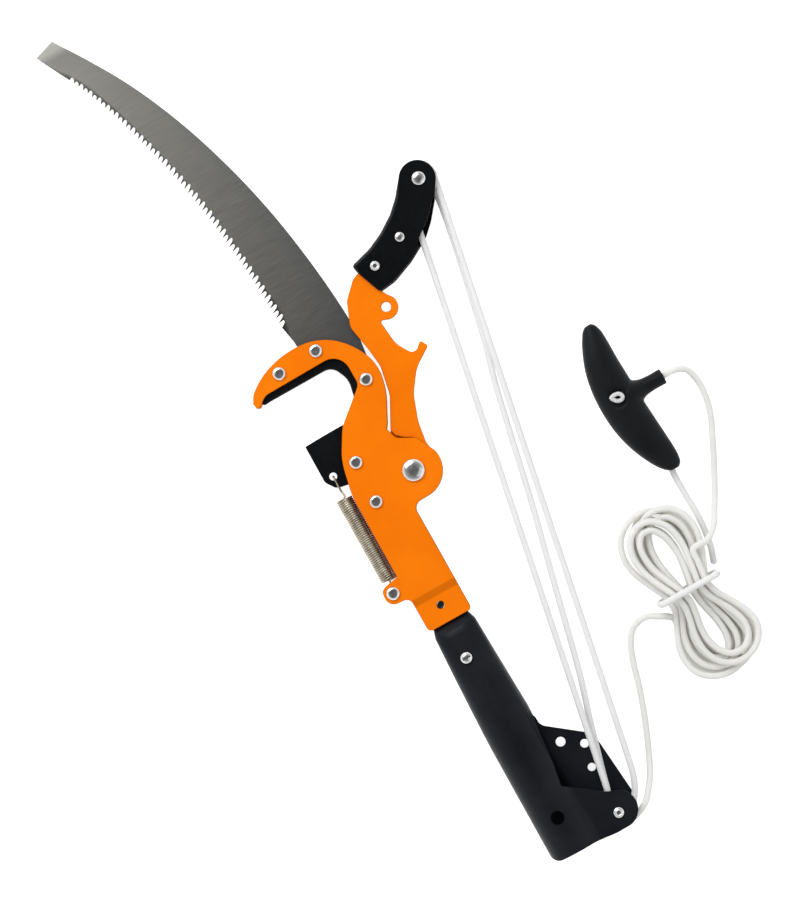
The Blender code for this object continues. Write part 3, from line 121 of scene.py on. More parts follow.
# Outlines as (u, v, corner radius)
LOBE = fan(0, 0, 22.0, 14, -5, 21)
HOOK_BACK = (
    (-80.6, 101.4), (-77.2, 107.4), (-70.2, 113.0), (-59.5, 118.6), (-49.0, 121.7), (-35.0, 123.3),
    (-21.0, 122.0), (-7.0, 115.9), (3.5, 106.2), (10.6, 95.0), (13.5, 87.5), (14.5, 79.5),
    (13.6, 71.5), (11.5, 63.5), (8.4, 56.0), (4.2, 48.0), (0.2, 40.2),
)
PLATE_OUTLINE = (
    (-2.0, 36.2, 2),
    (0.3, 27.5, 6), (13.5, 20.6, 8), *LOBE, (-12.9, -22.3, 6.5),
    (-12.7, -60.0, 0), (-12.8, -111.6, 3),
    (-49.4, -111.6, 4), (-49.3, -82.0, 5), (-66.0, -80.6, 7.2), (-65.6, -66.6, 6),
    (-49.9, -63.6, 1.2), (-49.7, 5.0, 60), (-43.6, 32.5, 50), (-30.9, 54.0, 30),
    (-4.4, 76.2, 8), (-4.6, 104.0, 19.5), (-69.5, 103.0, 10), (-77.6, 96.8, 1.2),
    (-81.3, 99.6, 2.4),
)
ANVIL_OUTLINE = (
    (-75.5, 101.0, 2.0), (-71.0, 107.0, 6), (-50.0, 119.5, 25), (-22.0, 121.5, 25),
    (0.0, 109.8, 22), (10.8, 89.0, 20), (9.8, 68.2, 5), (-4.0, 64.6, 4),
    (-12.8, 67.0, 3), (-9.2, 83.0, 16), (-15.4, 97.5, 10), (-68.0, 97.4, 4),
    (-73.8, 97.0, 2.0),
)
LUG = fan(42.0, 116.6, 9.3, -118, 8, 22)
ARM_LOBE = fan(0, 0, 20.4, -84, 8, 13)
ARM_OUTLINE = (
    (-20.6, 3.0, 18), (-18.6, -20.4, 18), *ARM_LOBE,
    (18.6, 14.0, 8), (21.0, 30.0, 25), (28.2, 50.0, 25), (39.6, 65.6, 25),
    (55.5, 76.0, 1.8), (52.0, 82.4, 1.4), (43.6, 75.0, 7), (35.0, 89.0, 20),
    (32.9, 110.0, 3.6), *LUG, (43.6, 131.5, 2),
    (66.0, 138.5, 20), (84.5, 148.5, 7), (83.0, 163.5, 7), (71.0, 163.6, 6),
    (56.0, 156.6, 20), (30.5, 147.0, 8), (18.6, 135.0, 8), (11.0, 116.5, 12),
    (14.9, 96.0, 25), (16.6, 80.0, 15), (12.2, 58.0, 20), (-6.0, 24.0, 20),
)
ARM_HOLE, ARM_HOLE_RADIUS = (42.2, 116.8), 3.7
ARM_STEP = ((-1.0, 37.0), (1.3, 29.6), (5.6, 25.6), (12.4, 21.5), (10.0, 18.4), (-0.6, 25.0), (-4.0, 34.0))
ARM_STEP_DEEP = 3.6
CUTTER_TIP, CUTTER_HUB = (-62.4, 55.2), 17.0
CUTTER_BACK, CUTTER_SLOPE = ((-47.4, 14.6, 2), (-57.0, 16.4, 7), (-62.6, 24.4, 7)), 25.0
SAW_TIP_FRONT = (-95.4, 409.6)
SAW_BACK = (
    (-79.0, 415.0), (-61.5, 388.0), (-45.2, 360.0), (-25.0, 315.0), (-10.0, 270.0), (1.1, 225.0),
    (8.5, 180.0), (11.8, 150.0), (13.3, 128.0), (13.9, 110.0),
)
SAW_EDGE = (
    (-91.6, 402.0), (-77.4, 374.0), (-57.6, 316.4), (-43.6, 253.0), (-36.2, 189.0), (-33.6, 141.7),
)
SAW_PLAIN = (-31.0, 128.0)
SAW_HEEL = (
    (-29.6, 106.6, 3), (-12.5, 105.4, 8), (-4.6, 92.0, 12), (-4.8, 69.4, 6.8),
    (9.8, 69.4, 6.8), (11.4, 90.0, 20),
)
SAW_PITCH, TOOTH_FIRST, TOOTH_LAST = 4.27, 2.8, 5.6
TOOTH_LEAN, TOOTH_TIP, TOOTH_ROOT = 0.32, 0.15, 1.1
TOOTH_SHORT, PLAIN_TIP = 0.76, 18.0  # the share left of every second tooth; the edge before the first
GULLET = ((-0.85, 0.93), (-0.35, 1.0), (0.35, 1.0), (0.8, 0.93))
HOUSING_BACK = (
    (88.0, 184.6, 25), (78.5, 175.6, 20), (64.8, 166.6, 20), (52.2, 160.8, 20), (34.6, 156.0, 2.5),
)
HOUSING_REST = (
    (36.9, 147.0, 4), (43.7, 129.0, 3), (57.4, 130.6, 20), (75.6, 137.6, 20),
    (88.0, 144.6, 1), (93.8, 148.0, 1.5), (103.4, 157.0, 15), (114.0, 170.0, 25),
)
HOUSING_ROUND = (109.7, 189.1)
HOUSING_NOTCH = (
    (86.0, 140.0), (86.0, 147.6), (91.0, 151.2), (97.0, 155.4), (104.0, 161.2), (113.0, 171.5),
    (128.0, 160.0),
)
WEB_END = (92.6, 189.4)
HOUSING_INSIDE = (28.0, 110.0, 140.0, 215.0)  # left, low, right, high
EAR_ROUND = fan(8.5, -294.5, 16.0, 0, -5, 18)
FRONT_ROUND = fan(9.2, -295.8, 14.6, 60, -5, 29)
REAR_EAR = (
    (-11.6, -200.0, 0), (-11.2, -213.5, 8), (15.0, -233.8, 4), (20.8, -240.4, 3),
    (24.9, -289.0, 3), *EAR_ROUND, (0.0, -310.4, 30), (-20.0, -308.1, 0),
)
FRONT_EAR = (
    (-11.6, -200.0, 0), (-14.6, -221.0, 20), (-16.2, -240.0, 20), (-19.6, -259.6, 2),
    (8.0, -280.0, 20), *FRONT_ROUND,
    (0.0, -310.4, 30), (-20.0, -308.1, 0),
)

# Pole socket: the rolled sheet and its holes
SOCKET_SHEET, SOCKET_AXIS_U, SOCKET_RADIUS = 2.0, -31.8, 20.0
SOCKET_TOP, SHOULDER_TOP, EAR_TOP, SOCKET_END = -88.0, -112.2, -207.0, -312.0
MOUTH, MOUTH_ROUND, TRIM_TOP = -307.9, 7.0, -190.0
SEAM_ANGLE = 2.0
EAR_HALF_GAP, EAR_FILLET, EAR_REACH = 8.5, 5.0, 29.0
EAR_POINTS, ROLLED_POINTS = 9, 60
STATION_COUNTS = (2, 8, 6, 6, 4, 1, 6)
SCREW_HOLE, SCREW_HOLE_RADIUS = (-33.5, -278.3), 5.2
EAR_HOLES = (((-4.0, -231.7), 3.7), ((11.1, -241.6), 3.3), ((7.1, -259.7), 3.1))
CROSS_RIVET_OUT, SCREW_SLOT_HALF, SCREW_SLOT_LONG, SCREW_SLOT_DEEP = 14.0, 0.8, 3.2, 1.6

# Return spring
WIRE_RADIUS, COIL_RADIUS = 0.8, 5.7
COIL_TURNS, COIL_POINTS = 42, 16
COIL_TOP, COIL_BOTTOM = (-56.2, 7.0), (-56.2, -63.0)
HOOK_PLAY = 1.7
SPRING_LOOP = (60.0, -240.0)


# ---------------------------------------------------------------- camera, lights and floor

PHOTO_TURN = 29.4  # how far the pole leans in the photograph, in degrees
LENS = 159.8
CAMERA_HIGH = 3.016
AIM_FROM_PIVOT = (-0.00166, 0.01797)
WORLD_LEVEL = 0.58
SKY = ((0.0, 1.0), (0.50, 1.0), (0.80, 0.42), (1.0, 0.10))  # what gloss shows, by height
KEY_LAMP, FILL_LAMP = ((-0.35, 1.75, 1.75), 1.6, 36), ((0.9, -1.0, 1.9), 1.6, 4)  # place, size, power
LAMPS_AIM = (-0.02, 0.0, 0.0)
FLOOR_HALF, FLOOR_LEVEL, FLOOR_GLOW = 6.0, -0.0002, 0.8
# Painted shade and highlight on edges and bends fade in between these:
RIM_START, RIM_END = 0.985, 0.76  # how upright a face is where an edge starts and ends to show
# Where the saw's painted reflection starts and ends:
SAW_REFLECTION_START, SAW_REFLECTION_END = 0.1, 0.42  # in metres from the pivot


def add(name, data):
    """A new object in the scene."""
    obj = bpy.data.objects.new(name, data)
    bpy.context.scene.collection.objects.link(obj)
    return obj


def make_camera():
    """Straight down on the tool, turned as the photograph is, with a long lens."""
    data = bpy.data.cameras.new("camera")
    data.sensor_fit = "VERTICAL"
    data.sensor_height = data.sensor_width = 36
    data.lens = LENS
    data.clip_start, data.clip_end = 0.1, 20
    camera = add("camera", data)
    camera.location = (PIVOT.x + AIM_FROM_PIVOT[0], PIVOT.y + AIM_FROM_PIVOT[1], CAMERA_HIGH)
    camera.rotation_euler = (0, 0, math.radians(-PHOTO_TURN))
    bpy.context.scene.camera = camera


def make_lamp(name, place, size, power):
    data = bpy.data.lights.new(name, "AREA")
    data.shape, data.size, data.energy = "SQUARE", size, power
    lamp = add(name, data)
    lamp.location = place
    lamp.rotation_euler = (Vector(LAMPS_AIM) - lamp.location).to_track_quat("-Z", "Y").to_euler()


def node(tree, kind, values=(), **settings):
    """A new shader node with its settings; a value that is another node's output is linked."""
    made = tree.nodes.new(kind)
    for key, value in settings.items():
        setattr(made, key, value)
    for key, value in dict(values).items():
        if isinstance(value, bpy.types.NodeSocket):
            tree.links.new(value, made.inputs[key])
        else:
            made.inputs[key].default_value = value
    return made


def maths(tree, operation, *values):
    return node(tree, "ShaderNodeMath", enumerate(values), operation=operation).outputs[0]


def ramp(tree, source, *stops):
    """The colour that source picks from stops (place, colour)."""
    made = node(tree, "ShaderNodeValToRGB", {0: source})
    elements = made.color_ramp.elements
    for stop, (place, colour) in zip(elements, (stops[0], stops[-1])):
        stop.position = place
        stop.color = (*colour, 1)
    for place, colour in stops[1:-1]:
        elements.new(place).color = (*colour, 1)
    return made.outputs["Color"]


def seen_rays(tree):
    """1 for rays that show the background: to the camera, in metal and through glass."""
    rays = node(tree, "ShaderNodeLightPath").outputs
    both = maths(tree, "MAXIMUM", rays["Is Camera Ray"], rays["Is Transmission Ray"])
    return maths(tree, "MAXIMUM", both, rays["Is Glossy Ray"])


def make_world():
    """Even light on every surface, and SKY where the background is seen."""
    world = bpy.data.worlds.new("studio")
    world.use_nodes = True
    bpy.context.scene.world = world
    tree = world.node_tree
    tree.nodes.clear()
    lit = node(tree, "ShaderNodeBackground", {"Color": (1, 1, 1, 1), "Strength": WORLD_LEVEL})
    coords = node(tree, "ShaderNodeTexCoord")
    split = node(tree, "ShaderNodeSeparateXYZ", {0: coords.outputs["Generated"]})
    sky = ramp(tree, split.outputs["Z"], *((place, (level, level, level)) for place, level in SKY))
    shown = node(tree, "ShaderNodeBackground", {"Color": sky, "Strength": 1.0})
    mix = node(tree, "ShaderNodeMixShader", {0: seen_rays(tree), 1: lit.outputs[0], 2: shown.outputs[0]})
    node(tree, "ShaderNodeOutputWorld", {"Surface": mix.outputs[0]})


def make_floor():
    """A pale floor that shows white where nothing shades it."""
    mesh = bpy.data.meshes.new("floor")
    corners = [(x * FLOOR_HALF, y * FLOOR_HALF, 0) for x, y in ((-1, -1), (1, -1), (1, 1), (-1, 1))]
    mesh.from_pydata(corners, [], [(0, 1, 2, 3)])
    floor = add("floor", mesh)
    floor.location.z = FLOOR_LEVEL
    material = new_material("floor_white", (0.82, 0.82, 0.82), 0.9, specular=0.0)
    tree = material.node_tree
    strength = maths(tree, "MULTIPLY", seen_rays(tree), FLOOR_GLOW)
    glow = node(tree, "ShaderNodeEmission", {"Color": (1, 1, 1, 1), "Strength": strength})
    plain = tree.nodes["Principled BSDF"].outputs[0]
    both = node(tree, "ShaderNodeAddShader", {0: plain, 1: glow.outputs[0]})
    tree.links.new(both.outputs[0], tree.nodes["Material Output"].inputs["Surface"])
    mesh.materials.append(material)


# ---------------------------------------------------------------- materials


def new_material(name, colour, roughness, metallic=0.0, specular=0.5):
    material = bpy.data.materials.new(name)
    material.use_nodes = True
    shader = material.node_tree.nodes["Principled BSDF"]
    shader.inputs["Base Color"].default_value = (*colour, 1)
    shader.inputs["Roughness"].default_value = roughness
    shader.inputs["Metallic"].default_value = metallic
    shader.inputs["Specular IOR Level"].default_value = specular
    return material


def dress(material, height, strength, distance, **linked):
    """Gives the material a relief, and links its other inputs, such as Base_Color."""
    tree = material.node_tree
    relief = node(tree, "ShaderNodeBump", {"Height": height, "Strength": strength, "Distance": distance})
    linked["Normal"] = relief.outputs["Normal"]
    for key, source in linked.items():
        tree.links.new(source, tree.nodes["Principled BSDF"].inputs[key.replace("_", " ")])
    return material


def own_place(tree):
    return node(tree, "ShaderNodeTexCoord").outputs["Object"]


def noise(tree, scale, detail, roughness=0.5, stretch=None):
    """Noise in the piece's own space, at scale per metre, drawn out by stretch (x, y, z, turn)."""
    place = own_place(tree)
    if stretch:
        turn = {"Vector": place, "Rotation": (0, 0, stretch[3]), "Scale": stretch[:3]}
        place = node(tree, "ShaderNodeMapping", turn).outputs["Vector"]
    values = {"Vector": place, "Scale": scale, "Detail": detail, "Roughness": roughness}
    return node(tree, "ShaderNodeTexNoise", values).outputs["Fac"]


def spread(tree, source, low=0.0, high=1.0, start=0.3, end=0.7):
    """A number that runs from low to high as source goes from start to end."""
    values = {"Value": source, "From Min": start, "From Max": end, "To Min": low, "To Max": high}
    return node(tree, "ShaderNodeMapRange", values).outputs["Result"]


def mixed(tree, share, first, second, blend="MIX"):
    """The first colour, with its share of the second."""
    values = {0: share, 6: first, 7: second}
    return node(tree, "ShaderNodeMix", values, data_type="RGBA", blend_type=blend).outputs[2]


def lean(tree, vector, direction):
    """How far a vector reaches along a direction."""
    dot = node(tree, "ShaderNodeVectorMath", {0: vector, 1: direction}, operation="DOT_PRODUCT")
    return dot.outputs["Value"]


def rims(tree):
    """1 on the edges and bends of the tool's plates and 0 on their faces, where an edge colour paints shade
    or a highlight.
    """
    normal = node(tree, "ShaderNodeNewGeometry").outputs["Normal"]
    return spread(tree, maths(tree, "ABSOLUTE", lean(tree, normal, UP)), start=RIM_START, end=RIM_END)


def clouded(name, base, tones, gloss, relief, edge_shading=None, reach=(0.3, 0.7), **finish):
    """A surface whose colour, gloss and relief follow three noises.

    base is its plain colour and roughness; the optional edge colour is painted on its edges and bends as
    shade or a highlight. tones and gloss are (low, high, *noise) and relief is (strength, distance,
    *noise).
    """
    material = new_material(name, *base, **finish)
    tree = material.node_tree
    colour = ramp(tree, noise(tree, *tones[2:]), *zip(reach, tones))
    if edge_shading:
        colour = mixed(tree, rims(tree), colour, (*edge_shading, 1))
    roughness = spread(tree, noise(tree, *gloss[2:]), *gloss[:2])
    return dress(material, noise(tree, *relief[2:]), *relief[:2], Base_Color=colour, Roughness=roughness)


def black_material(name, tone, edge_shading=None):
    """Satin black coat; given an edge colour, it is lighter grey along its folds as a painted highlight."""
    tones = ((0.0034, 0.0040, 0.0054), (0.0068, 0.0076, 0.0096))
    tones = [[level * tone for level in side] for side in tones]
    base = ((0.005, 0.0055, 0.007), 0.36)
    gloss, relief = (0.32, 0.44, 260, 3), (0.10, 0.0001, 900, 4, 0.6)
    return clouded(name, base, (*tones, 28, 4), gloss, relief, edge_shading, specular=0.11)


def plastic_material():
    """Moulded black plastic with a spark-eroded grain."""
    material = new_material("black_moulded_plastic", (0.0065, 0.007, 0.0084), 0.42, specular=0.13)
    tree = material.node_tree
    tones = ((0.3, (0.0046, 0.0052, 0.0066)), (0.7, (0.0086, 0.0094, 0.0114)))
    colour = ramp(tree, noise(tree, 45, 4), *tones)
    grain = node(tree, "ShaderNodeTexVoronoi", {"Vector": own_place(tree), "Scale": 1400.0})
    roughness = spread(tree, noise(tree, 180, 3), 0.44, 0.56)
    return dress(material, grain.outputs["Distance"], 0.18, 0.0001, Base_Color=colour, Roughness=roughness)


def along_tool(tree, axis):
    """The piece's own coordinate along an axis of the tool, in metres from the pivot."""
    direction = UPRIGHT @ Vector(axis)
    return maths(tree, "SUBTRACT", lean(tree, own_place(tree), direction), direction.dot(PIVOT))


def saw_material():
    """Ground blade steel: brushed across the blade, lighter towards its tip as a painted reflection, with
    painted shade along its teeth.
    """
    material = new_material("ground_blade_steel", (0.3, 0.3, 0.29), 0.4, metallic=0.75)
    tree = material.node_tree
    along, across = along_tool(tree, (0, 1, 0)), along_tool(tree, (1, 0, 0))
    # Painted reflection: darker near the heel and lighter towards the tip, with a light band at the very
    # tip that is partly the ground tip and partly painted reflection.
    stops = ((0.45, 0.195), (0.80, 0.240), (0.945, 0.250), (0.965, 0.43))
    stops = [(at, (level, level, level * 0.95)) for at, level in stops]
    place = spread(tree, along, start=SAW_REFLECTION_START, end=SAW_REFLECTION_END)
    colour = ramp(tree, place, (0.0, (0.132, 0.131, 0.127)), *stops, (1.0, (0.48, 0.48, 0.47)))
    edge = node(tree, "ShaderNodeFloatCurve")
    curve = edge.mapping.curves[0]
    low, high = SAW_PLAIN[1], SAW_TIP_FRONT[1]
    line = sorted((v, u) for u, v in (SAW_PLAIN, *SAW_EDGE, SAW_TIP_FRONT))
    plain = {line[0]: 9.0, line[-2]: 4.5, line[-1]: 4.5}  # keeps the toothless ends out of the dark band
    line = [((v - low) / (high - low), -(u - plain.get((v, u), 0.0)) / 100) for v, u in line]
    curve.points[0].location, curve.points[-1].location = line[0], line[-1]
    for at in line[1:-1]:
        curve.points.new(*at)
    edge.mapping.update()
    length = spread(tree, along, start=low * MM, end=high * MM)
    tree.links.new(length, edge.inputs["Value"])
    inside = maths(tree, "MULTIPLY_ADD", edge.outputs["Value"], 0.1, across)
    # Painted shade along the teeth: darkest within about 4 mm of the edge, a little lighter than the plain
    # blade about 5 mm in, and darker again towards the back.
    stops = ((0.075, 0.62), (0.10, 1.10), (0.45, 1.03))
    stops = [(at, (level, level * 0.985, level * 0.95)) for at, level in stops]
    share = maths(tree, "MULTIPLY", inside, 20.0)
    tone = ramp(tree, share, (0.02, (0.30, 0.30, 0.30)), *stops, (1.0, (0.80, 0.82, 0.85)))
    streaks = noise(tree, 60, 6, 0.62, stretch=(1.0, 24.0, 1.0, math.radians(14)))
    brushed = ramp(tree, streaks, (0.3, (0.93, 0.93, 0.93)), (0.7, (1.07, 1.07, 1.07)))
    for factor in (brushed, tone):
        colour = mixed(tree, 1.0, colour, factor, "MULTIPLY")
    roughness = spread(tree, streaks, 0.34, 0.44)
    return dress(material, streaks, 0.05, 0.00005, Base_Color=colour, Roughness=roughness)


def rope_material(name, deep, bright):
    """Braided rope: plaits along the tube's own map, with fibres in each, and painted shade in the crevices
    between the plaits.
    """
    material = new_material(name, bright, 0.85, specular=0.25)
    tree = material.node_tree
    places = node(tree, "ShaderNodeUVMap", uv_map="UVMap").outputs["UV"]
    split = node(tree, "ShaderNodeSeparateXYZ", {0: places}).outputs
    turns = ((split["X"], math.pi), (split["Y"], 16 * math.pi))
    waves = [maths(tree, "COSINE", maths(tree, "MULTIPLY", *turn)) for turn in turns]
    level = spread(tree, maths(tree, "MULTIPLY", *waves), start=-1.0, end=1.0)
    # Painted shade: the colour darkens where the plaits dip.
    colour = ramp(tree, level, (0.0, deep), (0.55, bright))
    drawn = {"Vector": places, "Scale": (1.2, 90.0, 1.0), "Rotation": (0, 0, 0.5)}
    drawn = node(tree, "ShaderNodeMapping", drawn).outputs["Vector"]
    fibres = node(tree, "ShaderNodeTexNoise", {"Vector": drawn, "Scale": 1.0, "Detail": 3.0})
    height = maths(tree, "MULTIPLY_ADD", fibres.outputs["Fac"], 0.35, level)
    shader = tree.nodes["Principled BSDF"]
    shader.inputs["Sheen Weight"].default_value = 0.25
    shader.inputs["Subsurface Weight"].default_value = 1.0
    shader.inputs["Subsurface Radius"].default_value = (1.0, 1.0, 0.95)
    shader.inputs["Subsurface Scale"].default_value = 0.009
    return dress(material, height, 0.35, 0.0003, Base_Color=colour)


# ---------------------------------------------------------------- drawing in the tool's frame


def arc(centre, radius, start, end, count):
    return [on_circle(centre, radius, start + (end - start) * i / count) for i in range(count + 1)]


def rounded(corners, step=math.radians(6)):
    """The outline through corners (u, v, radius), each corner turned by an arc."""
    points = []
    for i, (u, v, radius) in enumerate(corners):
        here = Vector((u, v))
        before = Vector(corners[i - 1][:2]) - here
        after = Vector(corners[(i + 1) % len(corners)][:2]) - here
        half = before.angle(after) / 2
        turn = math.pi - 2 * half
        if radius <= 0 or turn < 0.02:
            points.append((u, v))
            continue
        reach = min(radius / math.tan(half), 0.49 * before.length, 0.49 * after.length)
        radius = reach * math.tan(half)
        middle = here + (before.normalized() + after.normalized()).normalized() * radius / math.sin(half)
        first = here + before.normalized() * reach - middle
        last = here + after.normalized() * reach - middle
        start = math.atan2(first.y, first.x)
        sweep = math.atan2(first.x * last.y - first.y * last.x, first.dot(last))
        count = max(1, math.ceil(turn / step))
        for k in range(count + 1):
            angle = start + sweep * k / count
            points.append((middle.x + radius * math.cos(angle), middle.y + radius * math.sin(angle)))
    return points


def circle(centre, radius, count=32):
    turns = [math.tau * i / count for i in range(count)]
    return [(centre[0] + radius * math.cos(a), centre[1] + radius * math.sin(a)) for a in turns]


def bores(radius, *places):
    """Holes with play round shafts of the given radius."""
    return [circle(place, radius + GAP) for place in places]


def smooth(points, step):
    """Points about every step along a smooth curve through the given ones."""
    anchors = [Vector(p) for p in points]
    spans = [(q - p).length for p, q in zip(anchors, anchors[1:])]
    rates = [(q - p) / span for p, q, span in zip(anchors, anchors[1:], spans)]
    slopes = [rates[0]]
    for before, after, short, long in zip(rates, rates[1:], spans, spans[1:]):
        slopes.append((before * long + after * short) / (short + long))
    slopes.append(rates[-1])
    fine = []
    for i, span in enumerate(spans):
        for k in range(20):
            t = k / 20
            start = anchors[i] * (1 + 2 * t) * (1 - t) ** 2 + slopes[i] * span * t * (1 - t) ** 2
            end = anchors[i + 1] * t * t * (3 - 2 * t) + slopes[i + 1] * span * t * t * (t - 1)
            fine.append(start + end)
    return evenly([*fine, anchors[-1]], step)


def runs(line):
    """The length along the line up to each of its points."""
    lengths = [0.0]
    for p, q in zip(line, line[1:]):
        lengths.append(lengths[-1] + (q - p).length)
    return lengths


def length_of(line):
    return runs(line)[-1]


def evenly(line, step):
    """The same line with points about every step."""
    line = [Vector(p) for p in line]
    lengths = runs(line)
    count = max(2, round(lengths[-1] / step))
    even = []
    k = 0
    for i in range(count + 1):
        goal = lengths[-1] * i / count
        while k < len(line) - 2 and lengths[k + 1] < goal:
            k += 1
        span = lengths[k + 1] - lengths[k]
        even.append(line[k].lerp(line[k + 1], min(1.0, (goal - lengths[k]) / span)))
    return even


def eased(share):
    """A share that starts and ends softly."""
    return share * (share * (3 - 2 * share))


def shade(mesh, angle=SHARP):
    mesh.shade_smooth()
    mesh.set_sharp_from_angle(angle=math.radians(angle))


def piece(name, mesh, material, body, slot, *replaces):
    """A new piece whose mesh is already in the row frame."""
    obj = add(name, mesh)
    mesh.materials.clear()
    mesh.materials.append(material)
    if body:
        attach(obj, body)
    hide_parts(*replaces)
    return obj


def finished(name, work, matrix=None, turn_out=True):
    """The bmesh as a mesh, its faces turned outwards unless they are already, laid by matrix."""
    if turn_out:
        bmesh.ops.recalc_face_normals(work, faces=work.faces)
    mesh = bpy.data.meshes.new(name)
    work.to_mesh(mesh)
    work.free()
    if matrix is not None:
        mesh.transform(matrix)
    return mesh


def bridge(work, upper, lower):
    """Smooth faces between two rings, of which one may be a single point."""
    for i in range(max(len(upper), len(lower))):
        corners = ((upper, i), (lower, i), (lower, i + 1), (upper, i + 1))
        corners = dict.fromkeys(ring[k % len(ring)] for ring, k in corners)
        work.faces.new(list(corners)).smooth = True


def swept(name, line, radius, sides=16, plaits=0.0, closed=False, matrix=TOOL, tip=0.0):
    """A tube along line, in millimetres, with a map of its length and turn.

    Its plaits stand out by a share of the radius, and an open tube's ends are rounded over tip.
    """
    line = [Vector(p) for p in line]
    count = len(line)
    run = runs([*line, line[0]] if closed else line)
    work = bmesh.new()
    maps = work.loops.layers.uv.new("UVMap")
    rings = []
    for i, point in enumerate(line):
        after = line[(i + 1) % count] if closed else line[min(i + 1, count - 1)]
        before = line[i - 1] if closed else line[max(i - 1, 0)]
        tangent = (after - before).normalized()
        if i == 0:
            side = tangent.orthogonal().normalized()
        side = (side - tangent * side.dot(tangent)).normalized()
        other = tangent.cross(side)
        ring = []
        for k in range(sides):
            angle = 2 * math.pi * k / sides
            width = radius * (1 - 0.4 * plaits + plaits * (0.5 if (i + k) % 2 == 0 else -0.5))
            edge = min(run[i], run[count - 1] - run[i])
            if edge < tip:
                width *= math.sqrt(max(0.02, 1 - (1 - edge / tip) ** 2))
            offset = side * (width * math.cos(angle)) + other * (width * math.sin(angle))
            ring.append(work.verts.new(matrix @ ((point + offset) * MM)))
        rings.append(ring)
    for i in range(count if closed else count - 1):
        low, high = rings[i], rings[(i + 1) % count]
        for k in range(sides):
            n = (k + 1) % sides
            face = work.faces.new((low[k], low[n], high[n], high[k]))
            face.smooth = True
            corners = ((run[i], k), (run[i], k + 1), (run[i + 1], k + 1), (run[i + 1], k))
            for loop, (along, turn) in zip(face.loops, corners):
                loop[maps].uv = (along / PLAIT, turn / sides)
    if not closed:
        work.faces.new(rings[0][::-1])
        work.faces.new(rings[-1])
    return finished(name, work)


def turned(name, profile, place, segments=56):
    """A solid turned about w at place (u, v), from (radius, w) top to bottom."""
    work = bmesh.new()
    rings = []
    for radius, level in profile:
        ring = circle(place, radius, segments) if radius > 0 else [place]
        rings.append([work.verts.new((u, v, level)) for u, v in ring])
    pairs = list(zip(rings, rings[1:]))
    if profile[0][0] > 0:
        pairs.append((rings[-1], rings[0]))
    for upper, lower in pairs:
        if len(upper) + len(lower) > 2:
            bridge(work, upper, lower)
    mesh = finished(name, work, TOOL @ IN_MM)
    shade(mesh)
    return mesh


def evaluated(obj):
    """The object's shape with its modifiers, as a new mesh in the row frame."""
    bpy.context.view_layer.update()
    graph = bpy.context.evaluated_depsgraph_get()
    mesh = bpy.data.meshes.new_from_object(obj.evaluated_get(graph))
    mesh.transform(obj.matrix_world)
    return mesh


def scratch(name, mesh, matrix=None):
    """An object that is only used while a shape is made."""
    obj = add(name, mesh)
    if matrix is not None:
        obj.matrix_world = matrix
    return obj


def released(obj):
    """The mesh of a scratch object, which goes."""
    mesh = obj.data
    bpy.data.objects.remove(obj, do_unlink=True)
    return mesh


def combine(obj, tool, operation="DIFFERENCE"):
    """Cuts or joins obj by tool for good, and removes the tool."""
    modifier = obj.modifiers.new("cut", "BOOLEAN")
    modifier.operation = operation
    modifier.solver = "MANIFOLD"
    modifier.object = tool
    mesh = evaluated(obj)
    obj.modifiers.clear()
    obj.data = mesh
    obj.matrix_world = Matrix.Identity(4)
    bpy.data.objects.remove(tool, do_unlink=True)


def cut(obj, outline, low, high, matrix=TOOL):
    """Cuts obj by the prism over the outline, from w = low to w = high, in millimetres."""
    work = bmesh.new()
    lower, upper = ([work.verts.new((u * MM, v * MM, w * MM)) for u, v in outline] for w in (low, high))
    work.faces.new(upper)
    work.faces.new(lower[::-1])
    for i in range(len(outline)):
        k = (i + 1) % len(outline)
        work.faces.new((lower[i], lower[k], upper[k], upper[i]))
    combine(obj, scratch("cut", finished("cut", work, matrix)))


def without_repeats(loop):
    kept = []
    for point in loop:
        if not kept or (Vector(point) - Vector(kept[-1])).length > 0.01:
            kept.append(tuple(point))
    if (Vector(kept[0]) - Vector(kept[-1])).length <= 0.01:
        kept.pop()
    return kept


def winding(loop):
    return sum(a[0] * b[1] - b[0] * a[1] for a, b in zip(loop, [*loop[1:], loop[0]]))


def inset(loop, reach):
    """The closed loop moved to its left, by reach at each point, mitred at its corners."""
    moved = []
    for i, point in enumerate(loop):
        before = (Vector(point) - Vector(loop[i - 1])).normalized()
        after = (Vector(loop[(i + 1) % len(loop)]) - Vector(point)).normalized()
        side = Vector((-before.y, before.x))
        middle = (side + Vector((-after.y, after.x))).normalized()
        mitre = 1 / max(0.5, middle.dot(side))
        moved.append(tuple(Vector(point) + middle * (reach[i] * mitre)))
    return moved


